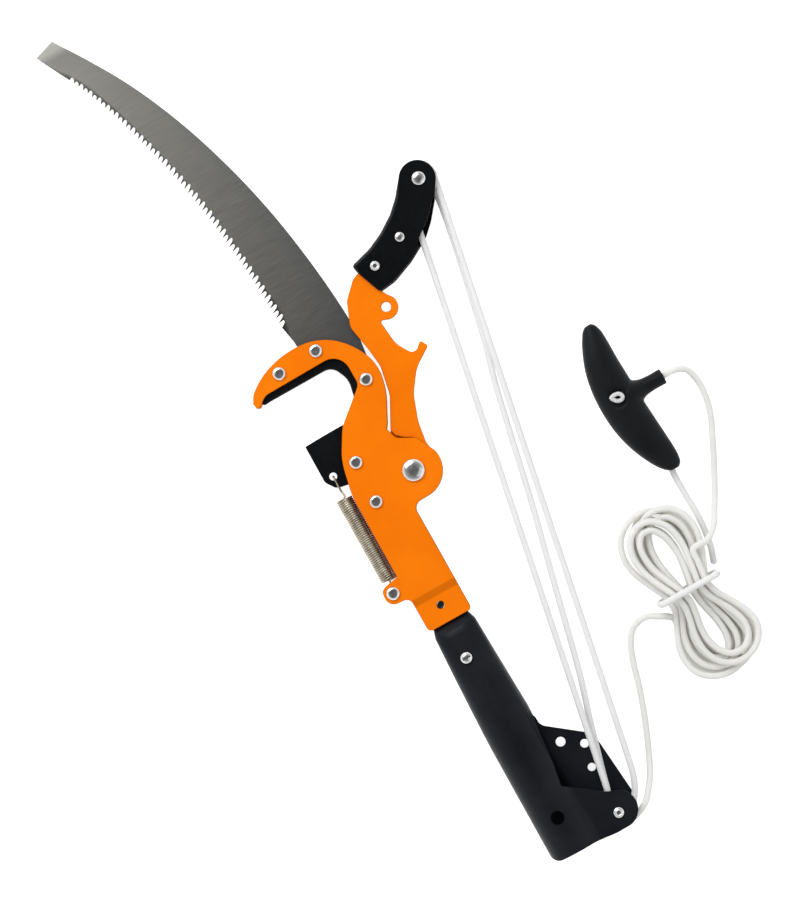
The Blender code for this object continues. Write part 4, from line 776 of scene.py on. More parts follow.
def plate(name, outlines, low, high, edge=0.35, edge_of=None):
    """A flat piece from w = low to w = high, in millimetres, with rounded rims.

    The first outline is its rim and the others are holes. edge_of gives the rounding at a point (u, v).
    """
    loops = []
    for i, outline in enumerate(outlines):
        loop = without_repeats(outline)
        if (winding(loop) > 0) == (i > 0):
            loop.reverse()
        loops.append(loop)
    work = bmesh.new()
    caps = ([], [])
    for loop in loops:
        reach = [edge_of(point) if edge_of else edge for point in loop]
        rings = []
        for side, level in ((1, high), (-1, low)):
            for degrees in (90, 45, 0) if side > 0 else (0, 45, 90):
                c, s = math.cos(math.radians(degrees)), math.sin(math.radians(degrees))
                places = inset(loop, [r * (1 - c) for r in reach])
                heights = [level - side * r * (1 - s) for r in reach]
                rings.append([work.verts.new((u, v, w)) for (u, v), w in zip(places, heights)])
        for upper, lower in zip(rings, rings[1:]):
            bridge(work, upper, lower)
        caps[0].append(rings[0])
        caps[1].append(rings[-1])
    for cap in caps:
        corners = [vert for ring in cap for vert in ring]
        flat = [[vert.co.to_2d().to_3d() for vert in ring] for ring in cap]
        for a, b, c in geometry.tessellate_polygon(flat):
            if len({a, b, c}) == 3:
                work.faces.new((corners[a], corners[b], corners[c]))
    return finished(name, work)


def to_tool(mesh):
    """The mesh, drawn in millimetres of the tool, laid in the row frame."""
    mesh.transform(TOOL @ IN_MM)
    return mesh


def crisp(mesh):
    """Smooth rims and flat faces for a plate that lies in the row frame."""
    mesh.set_sharp_from_angle(angle=math.radians(SHARP))
    for face in mesh.polygons:
        face.use_smooth = abs(face.normal.dot(UP)) < 0.9999
    return mesh


# ---------------------------------------------------------------- plates and blades


def joggle(mesh, side):
    """Steps the plate's foot in by JOGGLE_STEP between two bends, to grip the socket's tongue."""
    bend, run = JOGGLE_BEND, JOGGLE_TOP - JOGGLE_BOTTOM
    work = bmesh.new()
    work.from_mesh(mesh)
    first = [step * bend for step in (0.0, 0.33, 0.67, 1.0)]
    for share in (*first, *(1 - share for share in reversed(first))):
        level = JOGGLE_TOP - run * share
        everything = [*work.verts, *work.edges, *work.faces]
        cutting = {"plane_co": (0, level, 0), "plane_no": (0, 1, 0), "dist": 0.0001}
        bmesh.ops.bisect_plane(work, geom=everything, **cutting)
    for vert in work.verts:
        share = min(1.0, max(0.0, (JOGGLE_TOP - vert.co.y) / run))
        near = min(share, 1 - share)
        drop = near * near / (2 * bend) if near < bend else near - bend / 2
        drop /= 1 - bend
        vert.co.z -= side * JOGGLE_STEP * (drop if share < 0.5 else 1 - drop)
    work.to_mesh(mesh)
    work.free()


def make_side_plates(orange):
    """The two coated plates: the hook's back, the shank and the stepped foot."""
    holes = bores(RIVET_SHANK, *HOOK_RIVETS, *BODY_RIVETS, SPRING_RIVET, CLAMP_RIVET)
    holes += bores(PIVOT_SHANK, (0, 0))
    hook = [tuple(p) for p in smooth(HOOK_BACK, 2.0)]
    for name, side in (("front_side_plate", 1), ("rear_side_plate", -1)):
        low, high = sorted((side * PLATE_IN, side * PLATE_OUT))
        mesh = plate(name, [[*hook, *rounded(PLATE_OUTLINE)], *holes], low, high, 0.45)
        joggle(mesh, side)
        piece(name + "_coated", crisp(to_tool(mesh)), orange, "frame", "orange_paint", name)


def make_hook_edge(black):
    """The hardened edge inside the hook, ground to a bevel."""
    outlines = [rounded(ANVIL_OUTLINE), *bores(RIVET_SHANK, *HOOK_RIVETS)]
    mesh = plate("hook_edge", outlines, ARM_LOW, ARM_HIGH, 1.4)
    piece("hook_edge", crisp(to_tool(mesh)), black, "frame", "black_coat", "hook_anvil")


def saw_teeth():
    """Raked teeth along the blade's edge, every second one cut less deep, growing towards the heel."""
    line = smooth(SAW_EDGE, SAW_PITCH / 8)
    distance = runs(line)

    def place(goal, depth):
        k = min(len(line) - 2, max(0, sum(1 for d in distance if d <= goal) - 1))
        along = (line[k + 1] - line[k]).normalized()
        point = line[k] + along * (goal - distance[k])
        return point.x - along.y * depth, point.y + along.x * depth

    start = distance[-1] - SAW_PITCH * math.floor((distance[-1] - PLAIN_TIP) / SAW_PITCH)
    count = round((distance[-1] - start) / SAW_PITCH)
    points = [place(0, 0), place(start / 2, 0)]
    for i in range(count):
        goal = start + i * SAW_PITCH
        depth = TOOTH_FIRST + (TOOTH_LAST - TOOTH_FIRST) * min(1.0, 2.0 * i / count)
        if i % 2:
            depth *= TOOTH_SHORT
        middle = goal + SAW_PITCH / 2 - TOOTH_LEAN * depth
        flank = []
        for share in (0.0, 0.4, 0.76):
            half = SAW_PITCH / 2 - TOOTH_TIP - (TOOTH_ROOT - TOOTH_TIP) * share
            across = goal + SAW_PITCH / 2 - TOOTH_LEAN * depth * share
            flank.append((across, half, depth * share))
        points += [place(across - half, level) for across, half, level in flank]
        points += [place(middle + side, depth * share) for side, share in GULLET]
        points += [place(across + half, level) for across, half, level in reversed(flank)]
    points.append(place(distance[-1], 0))
    return points


def make_saw(steel):
    """The blade, with a fine chamfer that also grinds its teeth."""
    back = [tuple(p) for p in smooth(SAW_BACK, 5.0)]
    heel = rounded([(*SAW_BACK[-1], 0), (*SAW_PLAIN, 0), *SAW_HEEL])[2:]
    outline = [SAW_TIP_FRONT, *saw_teeth(), SAW_PLAIN, *heel, *reversed(back)]
    holes = bores(RIVET_SHANK, *HOOK_RIVETS[1:])
    mesh = plate("saw_ground_blade", [outline, *holes], SAW_LOW, SAW_HIGH, 0.14)
    piece("saw_ground_blade", crisp(to_tool(mesh)), steel, "frame", "saw_steel", "saw_blade")


def make_lever(orange, black):
    """The arm with the step that slides behind the plate, and the cutter with its stop and its bevel."""
    rivets, bore = bores(LEVER_RIVET, *LEVER_RIVETS), bores(PIVOT_SHANK, (0, 0))
    pins = bores(HOUSING_SHANK, *HOUSING_PINS)
    outlines = [rounded(ARM_OUTLINE), *bore, circle(ARM_HOLE, ARM_HOLE_RADIUS), *rivets, *pins]
    arm = scratch("arm", to_tool(plate("arm", outlines, ARM_LOW, ARM_HIGH, 0.5)))
    cut(arm, ARM_STEP, ARM_HIGH - ARM_STEP_DEEP, ARM_HIGH + 1)
    piece("lever_arm_coated", crisp(released(arm)), orange, "lever", "orange_paint", "lever_arm")
    stop = Vector(BODY_RIVETS[0])
    clear = SLEEVE_RADIUS + GAP
    notch = [*arc(stop, clear, -30, 150, 16), *arc((0, 0), stop.length + clear, 147.5, 163, 8)]
    hub = arc((0, 0), CUTTER_HUB, 60, -150, 36)
    hub, notch = ([(u, v, 0) for u, v in line] for line in (hub, notch))
    outline = rounded([(*CUTTER_TIP, 0.8), (-22.0, 56.6, 25), *hub, (-22.0, 6.0, 8), *notch, *CUTTER_BACK])
    outlines = [outline, *bore, circle(SPRING_HOLE, SPRING_HOLE_RADIUS), *rivets]
    cutter = scratch("cutter", to_tool(plate("cutter", outlines, CUTTER_LOW, CUTTER_HIGH, 0.3)))
    slope = math.tan(math.radians(CUTTER_SLOPE))
    reach = CUTTER_TIP[1] - 0.7 * (CUTTER_HIGH - CUTTER_LOW) * slope
    wedge = [(reach + side * slope, CUTTER_LOW + side) for side in (-8, 8)]
    cut(cutter, [*wedge, (CUTTER_TIP[1] + 12, CUTTER_LOW - 8)], -80, -9, TOOL @ ACROSS)
    piece("cutter_ground", crisp(released(cutter)), black, "lever", "black_coat", "cutter_blade")


# ---------------------------------------------------------------- fasteners and sheaves


def struck_head(head, high, seat):
    """A set rivet's head: rounded, with a flat in the middle that the tool struck."""
    shape = ((0.0, 0.95), (0.20, 0.955), (0.40, 0.98), (0.54, 1.0), (0.66, 0.95), (0.78, 0.84))
    rim = ((0.88, 0.66), (0.96, 0.42), (1.0, 0.20), (1.0, 0.02))
    return [(head * r, seat + high * w) for r, w in (*shape, *rim)] + [(head - 0.02, seat)]


def round_head(head, high, seat, steps=14):
    """A domed head."""
    points = []
    for i in range(steps + 1):
        angle = math.pi / 2 * i / steps
        points.append((head * math.sin(angle), seat + high * (0.25 + 0.75 * math.cos(angle))))
    return [*points, (head, seat)]


def bored_head(head, high, seat, bore, depth):
    """A domed head with a hole in its middle."""
    dome = [p for p in round_head(head, high, seat) if p[0] > bore + 0.5]
    top = seat + high
    floor = top - depth
    wall = [(bore - 0.2, floor), (bore, floor + 0.2), (bore, top - 0.2), (bore + 0.35, top)]
    return [(0.0, floor), *wall, *dome]


def shanked(head, shank, front, rear, tail, tail_high):
    """The profile of a rivet below its head, down to its upset tail."""
    rim = ((0, 0.5), (0.35, 0.64), (0.8, 0.7))
    upset = [(tail - inwards, rear - share * tail_high) for inwards, share in rim]
    return [*head, (shank, front), (shank, rear), (tail, rear), *upset, (0, upset[-1][1])]


def make_fasteners(zinc, black):
    """Turned rivets, pins and bolt in place of the plain ones."""
    seat = PLATE_OUT + GAP
    head = struck_head(RIVET_HEAD, RIVET_HEAD_HIGH, seat)
    rivet = shanked(head, RIVET_SHANK, seat, -seat, RIVET_HEAD - 0.6, RIVET_HEAD_HIGH)
    half = PLATE_IN - GAP
    sleeve = [(RIVET_SHANK, half), (SLEEVE_RADIUS, half), (SLEEVE_RADIUS, -half), (RIVET_SHANK, -half)]
    below = len(head) + 1
    sleeved = [*rivet[:below], *sleeve, *rivet[below:]]
    end = -seat - NUT_HIGH
    bolt = round_head(PIVOT_HEAD, PIVOT_HEAD_HIGH, seat, 24)
    bolt += [(PIVOT_SHANK, seat), (PIVOT_SHANK, end + 0.4), (PIVOT_SHANK - 0.4, end), (0, end)]
    face = PLATE_OUT - JOGGLE_STEP
    clamp = [(0, face - 0.5), (1.4, face - 0.5), (2.2, face - 0.1)]
    clamp += [(RIVET_SHANK, face), (RIVET_SHANK, -face), (0, -face)]
    front, rear = HOUSING_FRONT + HOUSING_SHEET + GAP, HOUSING_REAR - HOUSING_SHEET - GAP
    plain = round_head(HOUSING_PIN_HEAD, PIN_HEAD_HIGH, front)
    bored = bored_head(HOUSING_PIN_HEAD, PIN_HEAD_HIGH, front, 1.6, 5.0)
    below = (HOUSING_SHANK, front, rear, HOUSING_PIN_HEAD - 0.6, PIN_HEAD_HIGH)
    plain, bored = shanked(plain, *below), shanked(bored, *below)
    head = round_head(TOP_PIN_HEAD, RIVET_HEAD_HIGH, front)
    top_pin = shanked(head, PIN_SHANK, front, rear, TOP_PIN_HEAD - 0.6, RIVET_HEAD_HIGH)
    ear = EAR_HALF_GAP + SOCKET_SHEET + GAP
    head = bored_head(RIVET_HEAD - 1.1, PIN_HEAD_HIGH, ear, 1.7, 5.0)
    low_pin = shanked(head, PIN_SHANK, ear, -ear, RIVET_HEAD - 1.3, PIN_HEAD_HIGH)
    for name, profile, place, body in (
        *((f"hook_rivet_{i}", rivet, place, "frame") for i, place in enumerate(HOOK_RIVETS, start=1)),
        ("spring_rivet", rivet, SPRING_RIVET, "frame"),
        *((f"body_rivet_{i}", sleeved, place, "frame") for i, place in enumerate(BODY_RIVETS, start=1)),
        ("pivot_bolt", bolt, (0, 0), "frame"),
        ("socket_clamp_rivet", clamp, CLAMP_RIVET, "frame"),
        ("housing_pin_1", plain, HOUSING_PINS[0], "lever"),
        ("housing_pin_2", bored, HOUSING_PINS[1], "lever"),
        ("upper_sheave_pin", top_pin, TOP_PIN, "lever"),
        ("lower_sheave_pin", low_pin, LOWER_PIN, "frame"),
    ):
        ending, segments = ("_turned", 80) if name == "pivot_bolt" else ("_set", 56)
        coat, slot = (black, "black_coat") if name == "socket_clamp_rivet" else (zinc, "bright_zinc")
        piece(name + ending, turned(name, profile, place, segments), coat, body, slot, name)
    out = CROSS_RIVET_OUT + GAP
    high = RIVET_HEAD_HIGH + 0.6
    head = round_head(RIVET_HEAD - 0.7, high, out)
    profile = shanked(head, RIVET_SHANK, out, -out, RIVET_HEAD - 1.1, high)
    cross = scratch("cross_rivet", turned("cross_rivet", profile, SOCKET_RIVET))
    u, v = SOCKET_RIVET
    slot = ((-1, 0.2), (1, 0.2), (1, -SCREW_SLOT_DEEP), (-1, -SCREW_SLOT_DEEP))
    slot = [(v + side * SCREW_SLOT_HALF, out + high + past) for side, past in slot]
    cut(cross, slot, u - SCREW_SLOT_LONG, u + SCREW_SLOT_LONG, TOOL @ ACROSS)
    mesh = crisp(released(cross))
    piece("socket_cross_rivet_set", mesh, zinc, "frame", "bright_zinc", "socket_cross_rivet")


def make_sheaves(plastic):
    """Grooved wheels with rounded flanges."""
    half = SHEAVE_WIDTH / 2
    bore = PIN_SHANK + GAP
    for name, groove, flange, place, level in (
        ("upper_sheave", UPPER_GROOVE, UPPER_FLANGE, TOP_PIN, UPPER_SHEAVE_W),
        ("front_lower_sheave", LOWER_GROOVE, LOWER_FLANGE, LOWER_PIN, LOWER_SHEAVE_W),
        ("rear_lower_sheave", LOWER_GROOVE, LOWER_FLANGE, LOWER_PIN, -LOWER_SHEAVE_W),
    ):
        wall = [(flange - 0.3, half), (flange, half - 0.25), (flange, half - 0.5)]
        wall += [(groove + 1.6, 2.4), (groove + 0.4, 1.6), (groove, 0.8)]
        lower = [(r, -w) for r, w in reversed(wall)]
        profile = [(r, w + level) for r, w in (*wall, *lower, (bore, -half), (bore, half))]
        piece(name + "_moulded", turned(name, profile, place, 72), plastic, name, "black_plastic", name)


# ---------------------------------------------------------------- housing, socket and spring


def distance_to(point, line):
    """How far a point is from a line of points."""
    here = Vector(point)
    least = math.inf
    for a, b in zip(line, line[1:]):
        a, b = Vector(a), Vector(b)
        share = (here - a).dot(b - a) / (b - a).length_squared
        least = min(least, (here - a.lerp(b, min(1.0, max(0.0, share)))).length)
    return least


def make_housing(black):
    """The folded channel, with a bend along its back."""
    top = [(u, v, 0) for u, v in arc(HOUSING_ROUND, HOUSING_TOP, -40, 148, 48)]
    outline = rounded([*HOUSING_REST, *top, *HOUSING_BACK])
    web = [Vector(WEB_END), *(Vector(p[:2]) for p in HOUSING_BACK)]
    pins = bores(HOUSING_SHANK, *HOUSING_PINS) + bores(PIN_SHANK, TOP_PIN)
    front, rear = HOUSING_FRONT + HOUSING_SHEET, HOUSING_REAR - HOUSING_SHEET
    bend = HOUSING_SHEET + 0.3

    def edge_of(point):
        return bend if distance_to(point, web) < 2.6 else 0.4

    shell = scratch("shell", to_tool(plate("shell", [outline, *pins], rear, front, edge_of=edge_of)))
    inner = []
    for i, point in enumerate(web):
        along = (web[min(i + 1, len(web) - 1)] - web[max(i - 1, 0)]).normalized()
        inner.append(tuple(point + Vector((-along.y, along.x)) * HOUSING_SHEET))
    left, low, right, high = HOUSING_INSIDE
    inner[-1] = (left, inner[-1][1] - 1.0)
    pocket = [*inner, (left, low), (right, low), (right, high), (90.0, high)]
    cut(shell, pocket, HOUSING_REAR, HOUSING_FRONT)
    cut(shell, HOUSING_NOTCH, HOUSING_FRONT - 1, front + 1)
    piece("pulley_housing_folded", crisp(released(shell)), black, "lever", "black_coat", "pulley_housing")


def socket_section(left, right, half_height, power, spread, reach):
    """One section of the rolled sheet's outer face as (u, w), from the front ear round to the rear ear."""
    seam = math.radians(SEAM_ANGLE)
    ear_w = EAR_HALF_GAP + SOCKET_SHEET
    root_w = ear_w + EAR_FILLET
    root_u = math.sqrt((SOCKET_RADIUS + EAR_FILLET) ** 2 - root_w**2)
    touch = math.atan2(root_w, root_u)

    def tube_point(angle):
        c, s = math.cos(angle), math.sin(angle)
        across = (right if c > 0 else left) * math.copysign(abs(c) ** (2 / power), c)
        return Vector((across, half_height * math.copysign(abs(s) ** (2 / power), s)))

    front = []
    for i in range(EAR_POINTS):
        shut = tube_point(seam + (touch - seam) * i / EAR_POINTS)
        if i == 0:
            ear = Vector((reach - SOCKET_AXIS_U, ear_w))
        else:
            angle = -math.pi / 2 - (math.pi / 2 - touch) * (i - 1) / (EAR_POINTS - 1)
            ear = Vector((root_u + EAR_FILLET * math.cos(angle), root_w + EAR_FILLET * math.sin(angle)))
        front.append(shut.lerp(ear, spread))
    rest = 2 * math.pi - 2 * touch
    rolled = [tube_point(touch + rest * i / ROLLED_POINTS) for i in range(ROLLED_POINTS + 1)]
    rear = [Vector((p.x, -p.y)) for p in reversed(front)]
    return [(p.x + SOCKET_AXIS_U, p.y) for p in (*front, *rolled, *rear)]


def socket_stations():
    """Sections from the tongue to the mouth, with soft changes between the main ones."""
    shut, open_start = SOCKET_AXIS_U, SOCKET_AXIS_U + SOCKET_RADIUS + 1.5
    main = (
        (SOCKET_TOP, 13.6, 13.9, TONGUE_HALF, 4, 0, shut),
        (SHOULDER_TOP, 14.2, 15.6, TONGUE_HALF, 4, 0, shut),
        (-118.5, 16.2, 17.8, 9.4, 2.6, 0, shut),
        (-150.0, 17.9, 18.7, 14.2, 2.2, 0, shut),
        (EAR_TOP + 11, 19.8, 20.2, 18.4, 2, 0, shut),
        (EAR_TOP, 20.1, 19.5, 19.2, 2, 1, open_start),
        (EAR_TOP - 2, 20.2, 19.5, 19.3, 2, 1, EAR_REACH),
        (SOCKET_END, 20.8, SOCKET_RADIUS, SOCKET_RADIUS, 2, 1, EAR_REACH),
    )
    stations = []
    for upper, lower, count in zip(main, main[1:], STATION_COUNTS):
        for i in range(count):
            share = i / count
            if upper[0] == SHOULDER_TOP:
                share = eased(share)
            stations.append([a + (b - a) * share for a, b in zip(upper, lower)])
    return [*stations, main[-1]]


def make_socket(black):
    """The rolled sheet, trimmed to its ears, with its holes."""
    work = bmesh.new()
    rows = []
    for v, *shape in socket_stations():
        rows.append([work.verts.new((u * MM, v * MM, w * MM)) for u, w in socket_section(*shape)])
    for upper, lower in zip(rows, rows[1:]):
        for i in range(len(upper) - 1):
            work.faces.new((upper[i], upper[i + 1], lower[i + 1], lower[i]))
    socket = scratch("socket", finished("socket", work, TOOL, turn_out=False))
    sheet = socket.modifiers.new("sheet", "SOLIDIFY")
    sheet.thickness = SOCKET_SHEET * MM
    sheet.offset = -1
    sheet.use_even_offset = True
    right, past = EAR_REACH + 20, SOCKET_END - 20
    for ear, low, high in ((REAR_EAR, -30, 0), (FRONT_EAR, 0, 30)):
        edge = [(right, TRIM_TOP, 0), (-8.0, TRIM_TOP, 0), *ear, (-20.0, past, 0), (right, past, 0)]
        cut(socket, rounded(edge), low, high)
    left = SOCKET_AXIS_U - SOCKET_RADIUS - 0.8
    centre = (left + MOUTH_ROUND, MOUTH + MOUTH_ROUND)
    corner = [(left - 8, past), (left - 8, centre[1]), *arc(centre, MOUTH_ROUND, 180, 270, 12)]
    trim = [*corner, (-20.0, MOUTH - 0.2), (-19.0, past)]
    for outline, low, high in (
        (trim, -30, 30),
        (circle(SCREW_HOLE, SCREW_HOLE_RADIUS), 5, 30),
        *((circle(place, radius), -30, 0) for place, radius in EAR_HOLES),
        *((hole, -30, 30) for hole in bores(PIN_SHANK, LOWER_PIN)),
        *((hole, -30, 30) for hole in bores(RIVET_SHANK, CLAMP_RIVET, SOCKET_RIVET)),
    ):
        cut(socket, outline, low, high)
    mesh = released(socket)
    shade(mesh)
    piece("pole_socket_rolled", mesh, black, "frame", "black_coat", "pole_socket")


def make_spring(wire):
    """The close-wound coil with its loop, and the hook that ties it to the cutter."""
    steps = COIL_TURNS * COIL_POINTS
    rise = COIL_TOP[1] - COIL_BOTTOM[1]
    coil = []
    for i in range(steps + 1):
        angle = 2 * math.pi * i / COIL_POINTS
        across, level = COIL_RADIUS * math.sin(angle), COIL_RADIUS * math.cos(angle)
        coil.append((COIL_BOTTOM[0] + across, COIL_BOTTOM[1] + rise * i / steps, level))
    u, v = SPRING_RIVET
    ring = RIVET_SHANK + GAP + WIRE_RADIUS
    loop = [(x, y, 0.0) for x, y in arc((u, v), ring, *SPRING_LOOP, 30)]
    joint = [loop[-1], (u + 0.6, v + 6.2, 0.4), (COIL_BOTTOM[0] - 0.8, COIL_BOTTOM[1] - 2.6, 2.4), coil[0]]
    mesh = swept("coil", [*loop, *smooth(joint, 1.0)[1:-1], *coil], WIRE_RADIUS, 10, tip=0.4)
    spring = piece("return_spring_coil", mesh, wire, None, "spring_steel", "return_spring")
    low, high = (TOOL @ (Vector((*p, 0)) * MM) for p in (COIL_BOTTOM, COIL_TOP))
    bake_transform(spring)
    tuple(low)
    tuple(high)
    u, v = SPRING_HOLE[0], SPRING_HOLE[1] - SPRING_HOLE_RADIUS + HOOK_PLAY + WIRE_RADIUS
    front = CUTTER_HIGH + GAP + WIRE_RADIUS
    rear = CUTTER_LOW - GAP - WIRE_RADIUS
    hook = [
        (COIL_TOP[0], COIL_TOP[1], COIL_RADIUS),
        (COIL_TOP[0] + 1.6, COIL_TOP[1] + 1.4, COIL_RADIUS - 0.6),
        (COIL_TOP[0] + 1.2, COIL_TOP[1] + 4.6, front + 0.6),
        (u, v - 4.6, front),
        (u, v - 1.4, front),
        (u, v, front - 1.4),
        (u, v, rear + 1.4),
        (u, v - 1.4, rear),
        (u, v - 5.4, rear),
    ]
    mesh = swept("hook", smooth(hook, 0.5), WIRE_RADIUS, 12, tip=0.4)
    piece("spring_top_hook_bent", mesh, wire, "spring_hook", "spring_steel", "spring_top_hook")


# ---------------------------------------------------------------- pull handle


def smoothed(obj, size, times):
    """The object's mesh remeshed with one skin of the given size in metres, and eased."""
    remesh = obj.modifiers.new("skin", "REMESH")
    remesh.mode = "VOXEL"
    remesh.voxel_size = size
    remesh.use_smooth_shade = True
    ease = obj.modifiers.new("ease", "SMOOTH")
    ease.factor = 0.5
    ease.iterations = times
    mesh = evaluated(obj)
    bpy.data.objects.remove(obj, do_unlink=True)
    mesh.shade_smooth()
    return mesh


def ball(place, radius):
    work = bmesh.new()
    bmesh.ops.create_uvsphere(work, u_segments=32, v_segments=20, radius=radius * MM)
    mesh = finished("ball", work, turn_out=False)
    return scratch("ball", mesh, FLOOR @ Matrix.Translation(Vector(place) * MM))


def skinned(name, rings):
    """A closed skin over rings of points in millimetres beside the tool."""
    work = bmesh.new()
    rings = [[work.verts.new([value * MM for value in point]) for point in ring] for ring in rings]
    for upper, lower in zip(rings, rings[1:]):
        for i in range(len(upper)):
            k = (i + 1) % len(upper)
            work.faces.new((upper[i], upper[k], lower[k], lower[i]))
    work.faces.new(rings[0])
    work.faces.new(rings[-1])
    return scratch(name, finished(name, work), FLOOR)


def make_handle(plastic, white):
    """The moulded crescent grip with its neck, the recess for the knot and the knot."""
    rings = [
        [(u + half_width * c, v, GRIP_HIGH + half_height * s) for c, s in circle((0, 0), 1, 48)]
        for v, u, half_width, half_height in smooth(GRIP_SECTIONS, 2.0)
    ]
    grip = skinned("grip", rings)
    reach = NECK_END - KNOT_PLACE[0] - 6
    widest = NECK_SPREAD[-1][1]
    neck = smooth([(NECK_END - along, radius) for along, radius in (*NECK_SPREAD, (reach, widest))], 1.5)
    rings = [[(x, y, z) for y, z in circle((NECK_V, GRIP_HIGH), radius, 48)] for x, radius in neck]
    combine(grip, skinned("neck", rings), "UNION")
    top = 2 * GRIP_HIGH
    combine(grip, ball((*KNOT_PLACE, top + RECESS_UP), RECESS_RADIUS))
    combine(grip, ball((*DIMPLE, top + DIMPLE_UP), DIMPLE_RADIUS))
    grip = scratch("grip", smoothed(grip, SKIN, SKIN_EASED))
    bore = ROPE_RADIUS + 0.5
    hole = [(0, NECK_END + 2), (bore, NECK_END + 2), (bore, NECK_END - 11), (0, NECK_END - 11)]
    along = Matrix(((0, 0, 1, 0), (0, 1, 0, NECK_V), (-1, 0, 0, GRIP_HIGH), (0, 0, 0, 1)))
    drill = turned("drill", hole, (0, 0), 32)
    drill.transform((TOOL @ IN_MM).inverted())
    drill.transform(FLOOR @ IN_MM @ along)
    combine(grip, scratch("drill", drill))
    mesh = released(grip)
    shade(mesh, 50)
    piece("pull_handle_moulded", mesh, plastic, "frame", "black_plastic", "pull_handle")
    c, s = math.cos(KNOT_TURN), math.sin(KNOT_TURN)
    ring = []
    for i in range(28):
        angle = 2 * math.pi * i / 28
        point_out = 1.5 * max(0.0, math.cos(angle - math.pi)) ** 6
        across, up = (3.6 + point_out) * math.cos(angle), 2.7 * math.sin(angle)
        x, y = across * c - up * s, across * s + up * c
        ring.append((KNOT_PLACE[0] + x, KNOT_PLACE[1] + y, top + 0.4))
    ring = evenly([*ring, ring[0]], PLAIT)[:-1]
    mesh = swept("knot", ring, 1.6, closed=True, matrix=FLOOR, plaits=0.05)
    piece("handle_knot_tied", mesh, white, "frame", "white_rope", "handle_knot")


# ---------------------------------------------------------------- rope


ROPE_RADIUS = 2.5
UPPER_WRAP, LOWER_WRAP = 11.8, 7.5
LEFT_TANGENT, RIGHT_TANGENT, HAUL_END = 176.0, 306.0, 262.0
DEAD_END = (-8.0, 250.0)
STRAND_A = ((15.8, -301.6), (21.2, -297.6), (26.6, -290.6), (30.8, -281.6), (33.6, -271.0))
STRAND_BC = ((1.0, -294.2), (2.4, -290.5), (5.3, -285.4), (9.0, -279.2))
STRAND_B = (
    (10.9, -272.0), (21.2, -235.0), (34.5, -190.7), (43.0, -155.8), (51.4, -121.0),
    (66.2, -60.3), (76.9, -11.0), (85.0, 25.0), (95.4, 64.0), (104.6, 106.0),
    (112.0, 142.0), (116.4, 168.0), (117.0, 178.5),
)
FREE_ROPE = (
    (16.0, -306.4, 25.9), (22.3, -306.0, 25.0), (29.4, -301.2, 20.6), (36.0, -295.0, 14.2),
    (41.5, -288.4, 8.8), (46.3, -280.0, 4.4), (50.8, -270.5, 2.5), (59.8, -249.0, 2.5),
    (69.2, -221.6, 2.5), (76.6, -198.0, 2.5), (84.6, -185.6, 2.5), (95.0, -181.6, 4.2),
)
LEAD_ROPE = (
    (204.5, -30.0, 11.2), (211.5, -31.0, 8.6), (217.2, -36.5, 4.8), (219.7, -47.5, 2.6),
    (217.2, -67.9, 2.5), (207.4, -90.8, 2.5), (196.0, -113.6, 2.5), (188.0, -128.0, 4.8),
    (179.5, -141.0, 10.2), (171.0, -151.5, 18.2),
)
TAIL_ROPE = (
    (170.3, -89.0, 2.5), (169.6, -96.0, 2.5), (169.2, -106.0, 2.5), (169.6, -120.0, 2.5),
    (169.9, -134.0, 2.5), (168.8, -149.0, 2.5), (166.3, -162.0, 2.5), (162.6, -173.0, 2.5),
)
HANK_CENTRE = (136.0, -184.0)
HANK_LAYERS, HANK_LAYER_TURNS, HANK_LOOP_POINTS = 4, 2.5, 24
HANK_WAIST, HANK_WAIST_STEP = 16.5, 5.8
HANK_LOBE, HANK_LOBE_STEP = 45.0, 9.5
HANK_LENGTH, HANK_LENGTH_STEP = 70.0, 6.5
HANK_FROM, HANK_SHORT = 0.03, 0.45  # the turns left out at its start and end
HANK_RISE = 5.8
HANK_TURNED = (0.0, 7.0, -6.0, 9.0)
HANK_LEAN = 2.5
HANK_LEAD_IN = ((-30.0, -2.0, 6.0), (-25.2, -4.6, 6.3), (-20.8, -8.0, 6.8))
TIE_OFFSET = 5.5
TIE_ROUND, TIE_WIDE = 5, 2.2
NECK_V, NECK_END, GRIP_HIGH = -30.2, 198.0, 11.8
NECK_SPREAD = ((0.0, 6.1), (12.0, 6.1), (18.0, 6.9), (23.0, 9.2), (28.0, 11.0))  # way from its end, radius
GRIP_SECTIONS = (
    (30.6, 167.2, 2.6, 2.4), (28.4, 166.9, 5.2, 4.6), (24.0, 166.2, 7.6, 6.4), (14.0, 164.0, 10.6, 8.6),
    (0.0, 161.4, 13.2, 10.4), (-16.0, 160.2, 15.0, 11.5), (-34.0, 160.2, 15.7, 11.8),
    (-52.0, 161.8, 15.4, 11.6), (-67.0, 164.4, 13.9, 10.6), (-79.0, 167.4, 11.7, 8.8),
    (-87.6, 169.8, 9.2, 6.8), (-93.0, 171.4, 6.2, 4.8), (-95.4, 172.0, 3.2, 2.4),
)
KNOT_PLACE, KNOT_TURN = (159.9, -27.4), math.radians(-24)
RECESS_UP, RECESS_RADIUS = 8.6, 12.2
DIMPLE, DIMPLE_UP, DIMPLE_RADIUS = (171.2, -35.5), 0.2, 2.2
SKIN, SKIN_EASED = 0.0007, 5  # the grip's remeshing, in metres, and how often it is eased
PLAIT = 1.25
ROPE_FORM = {"radius": ROPE_RADIUS, "plaits": 0.05}


def lay(points, matrix):
    """Points in millimetres of the tool or the floor, as metres in the row frame."""
    return [matrix @ (Vector(p) * MM) for p in points]


def above_floor(line):
    return [Vector((p[0], p[1], max(ROPE_RADIUS, p[2]))) for p in line]


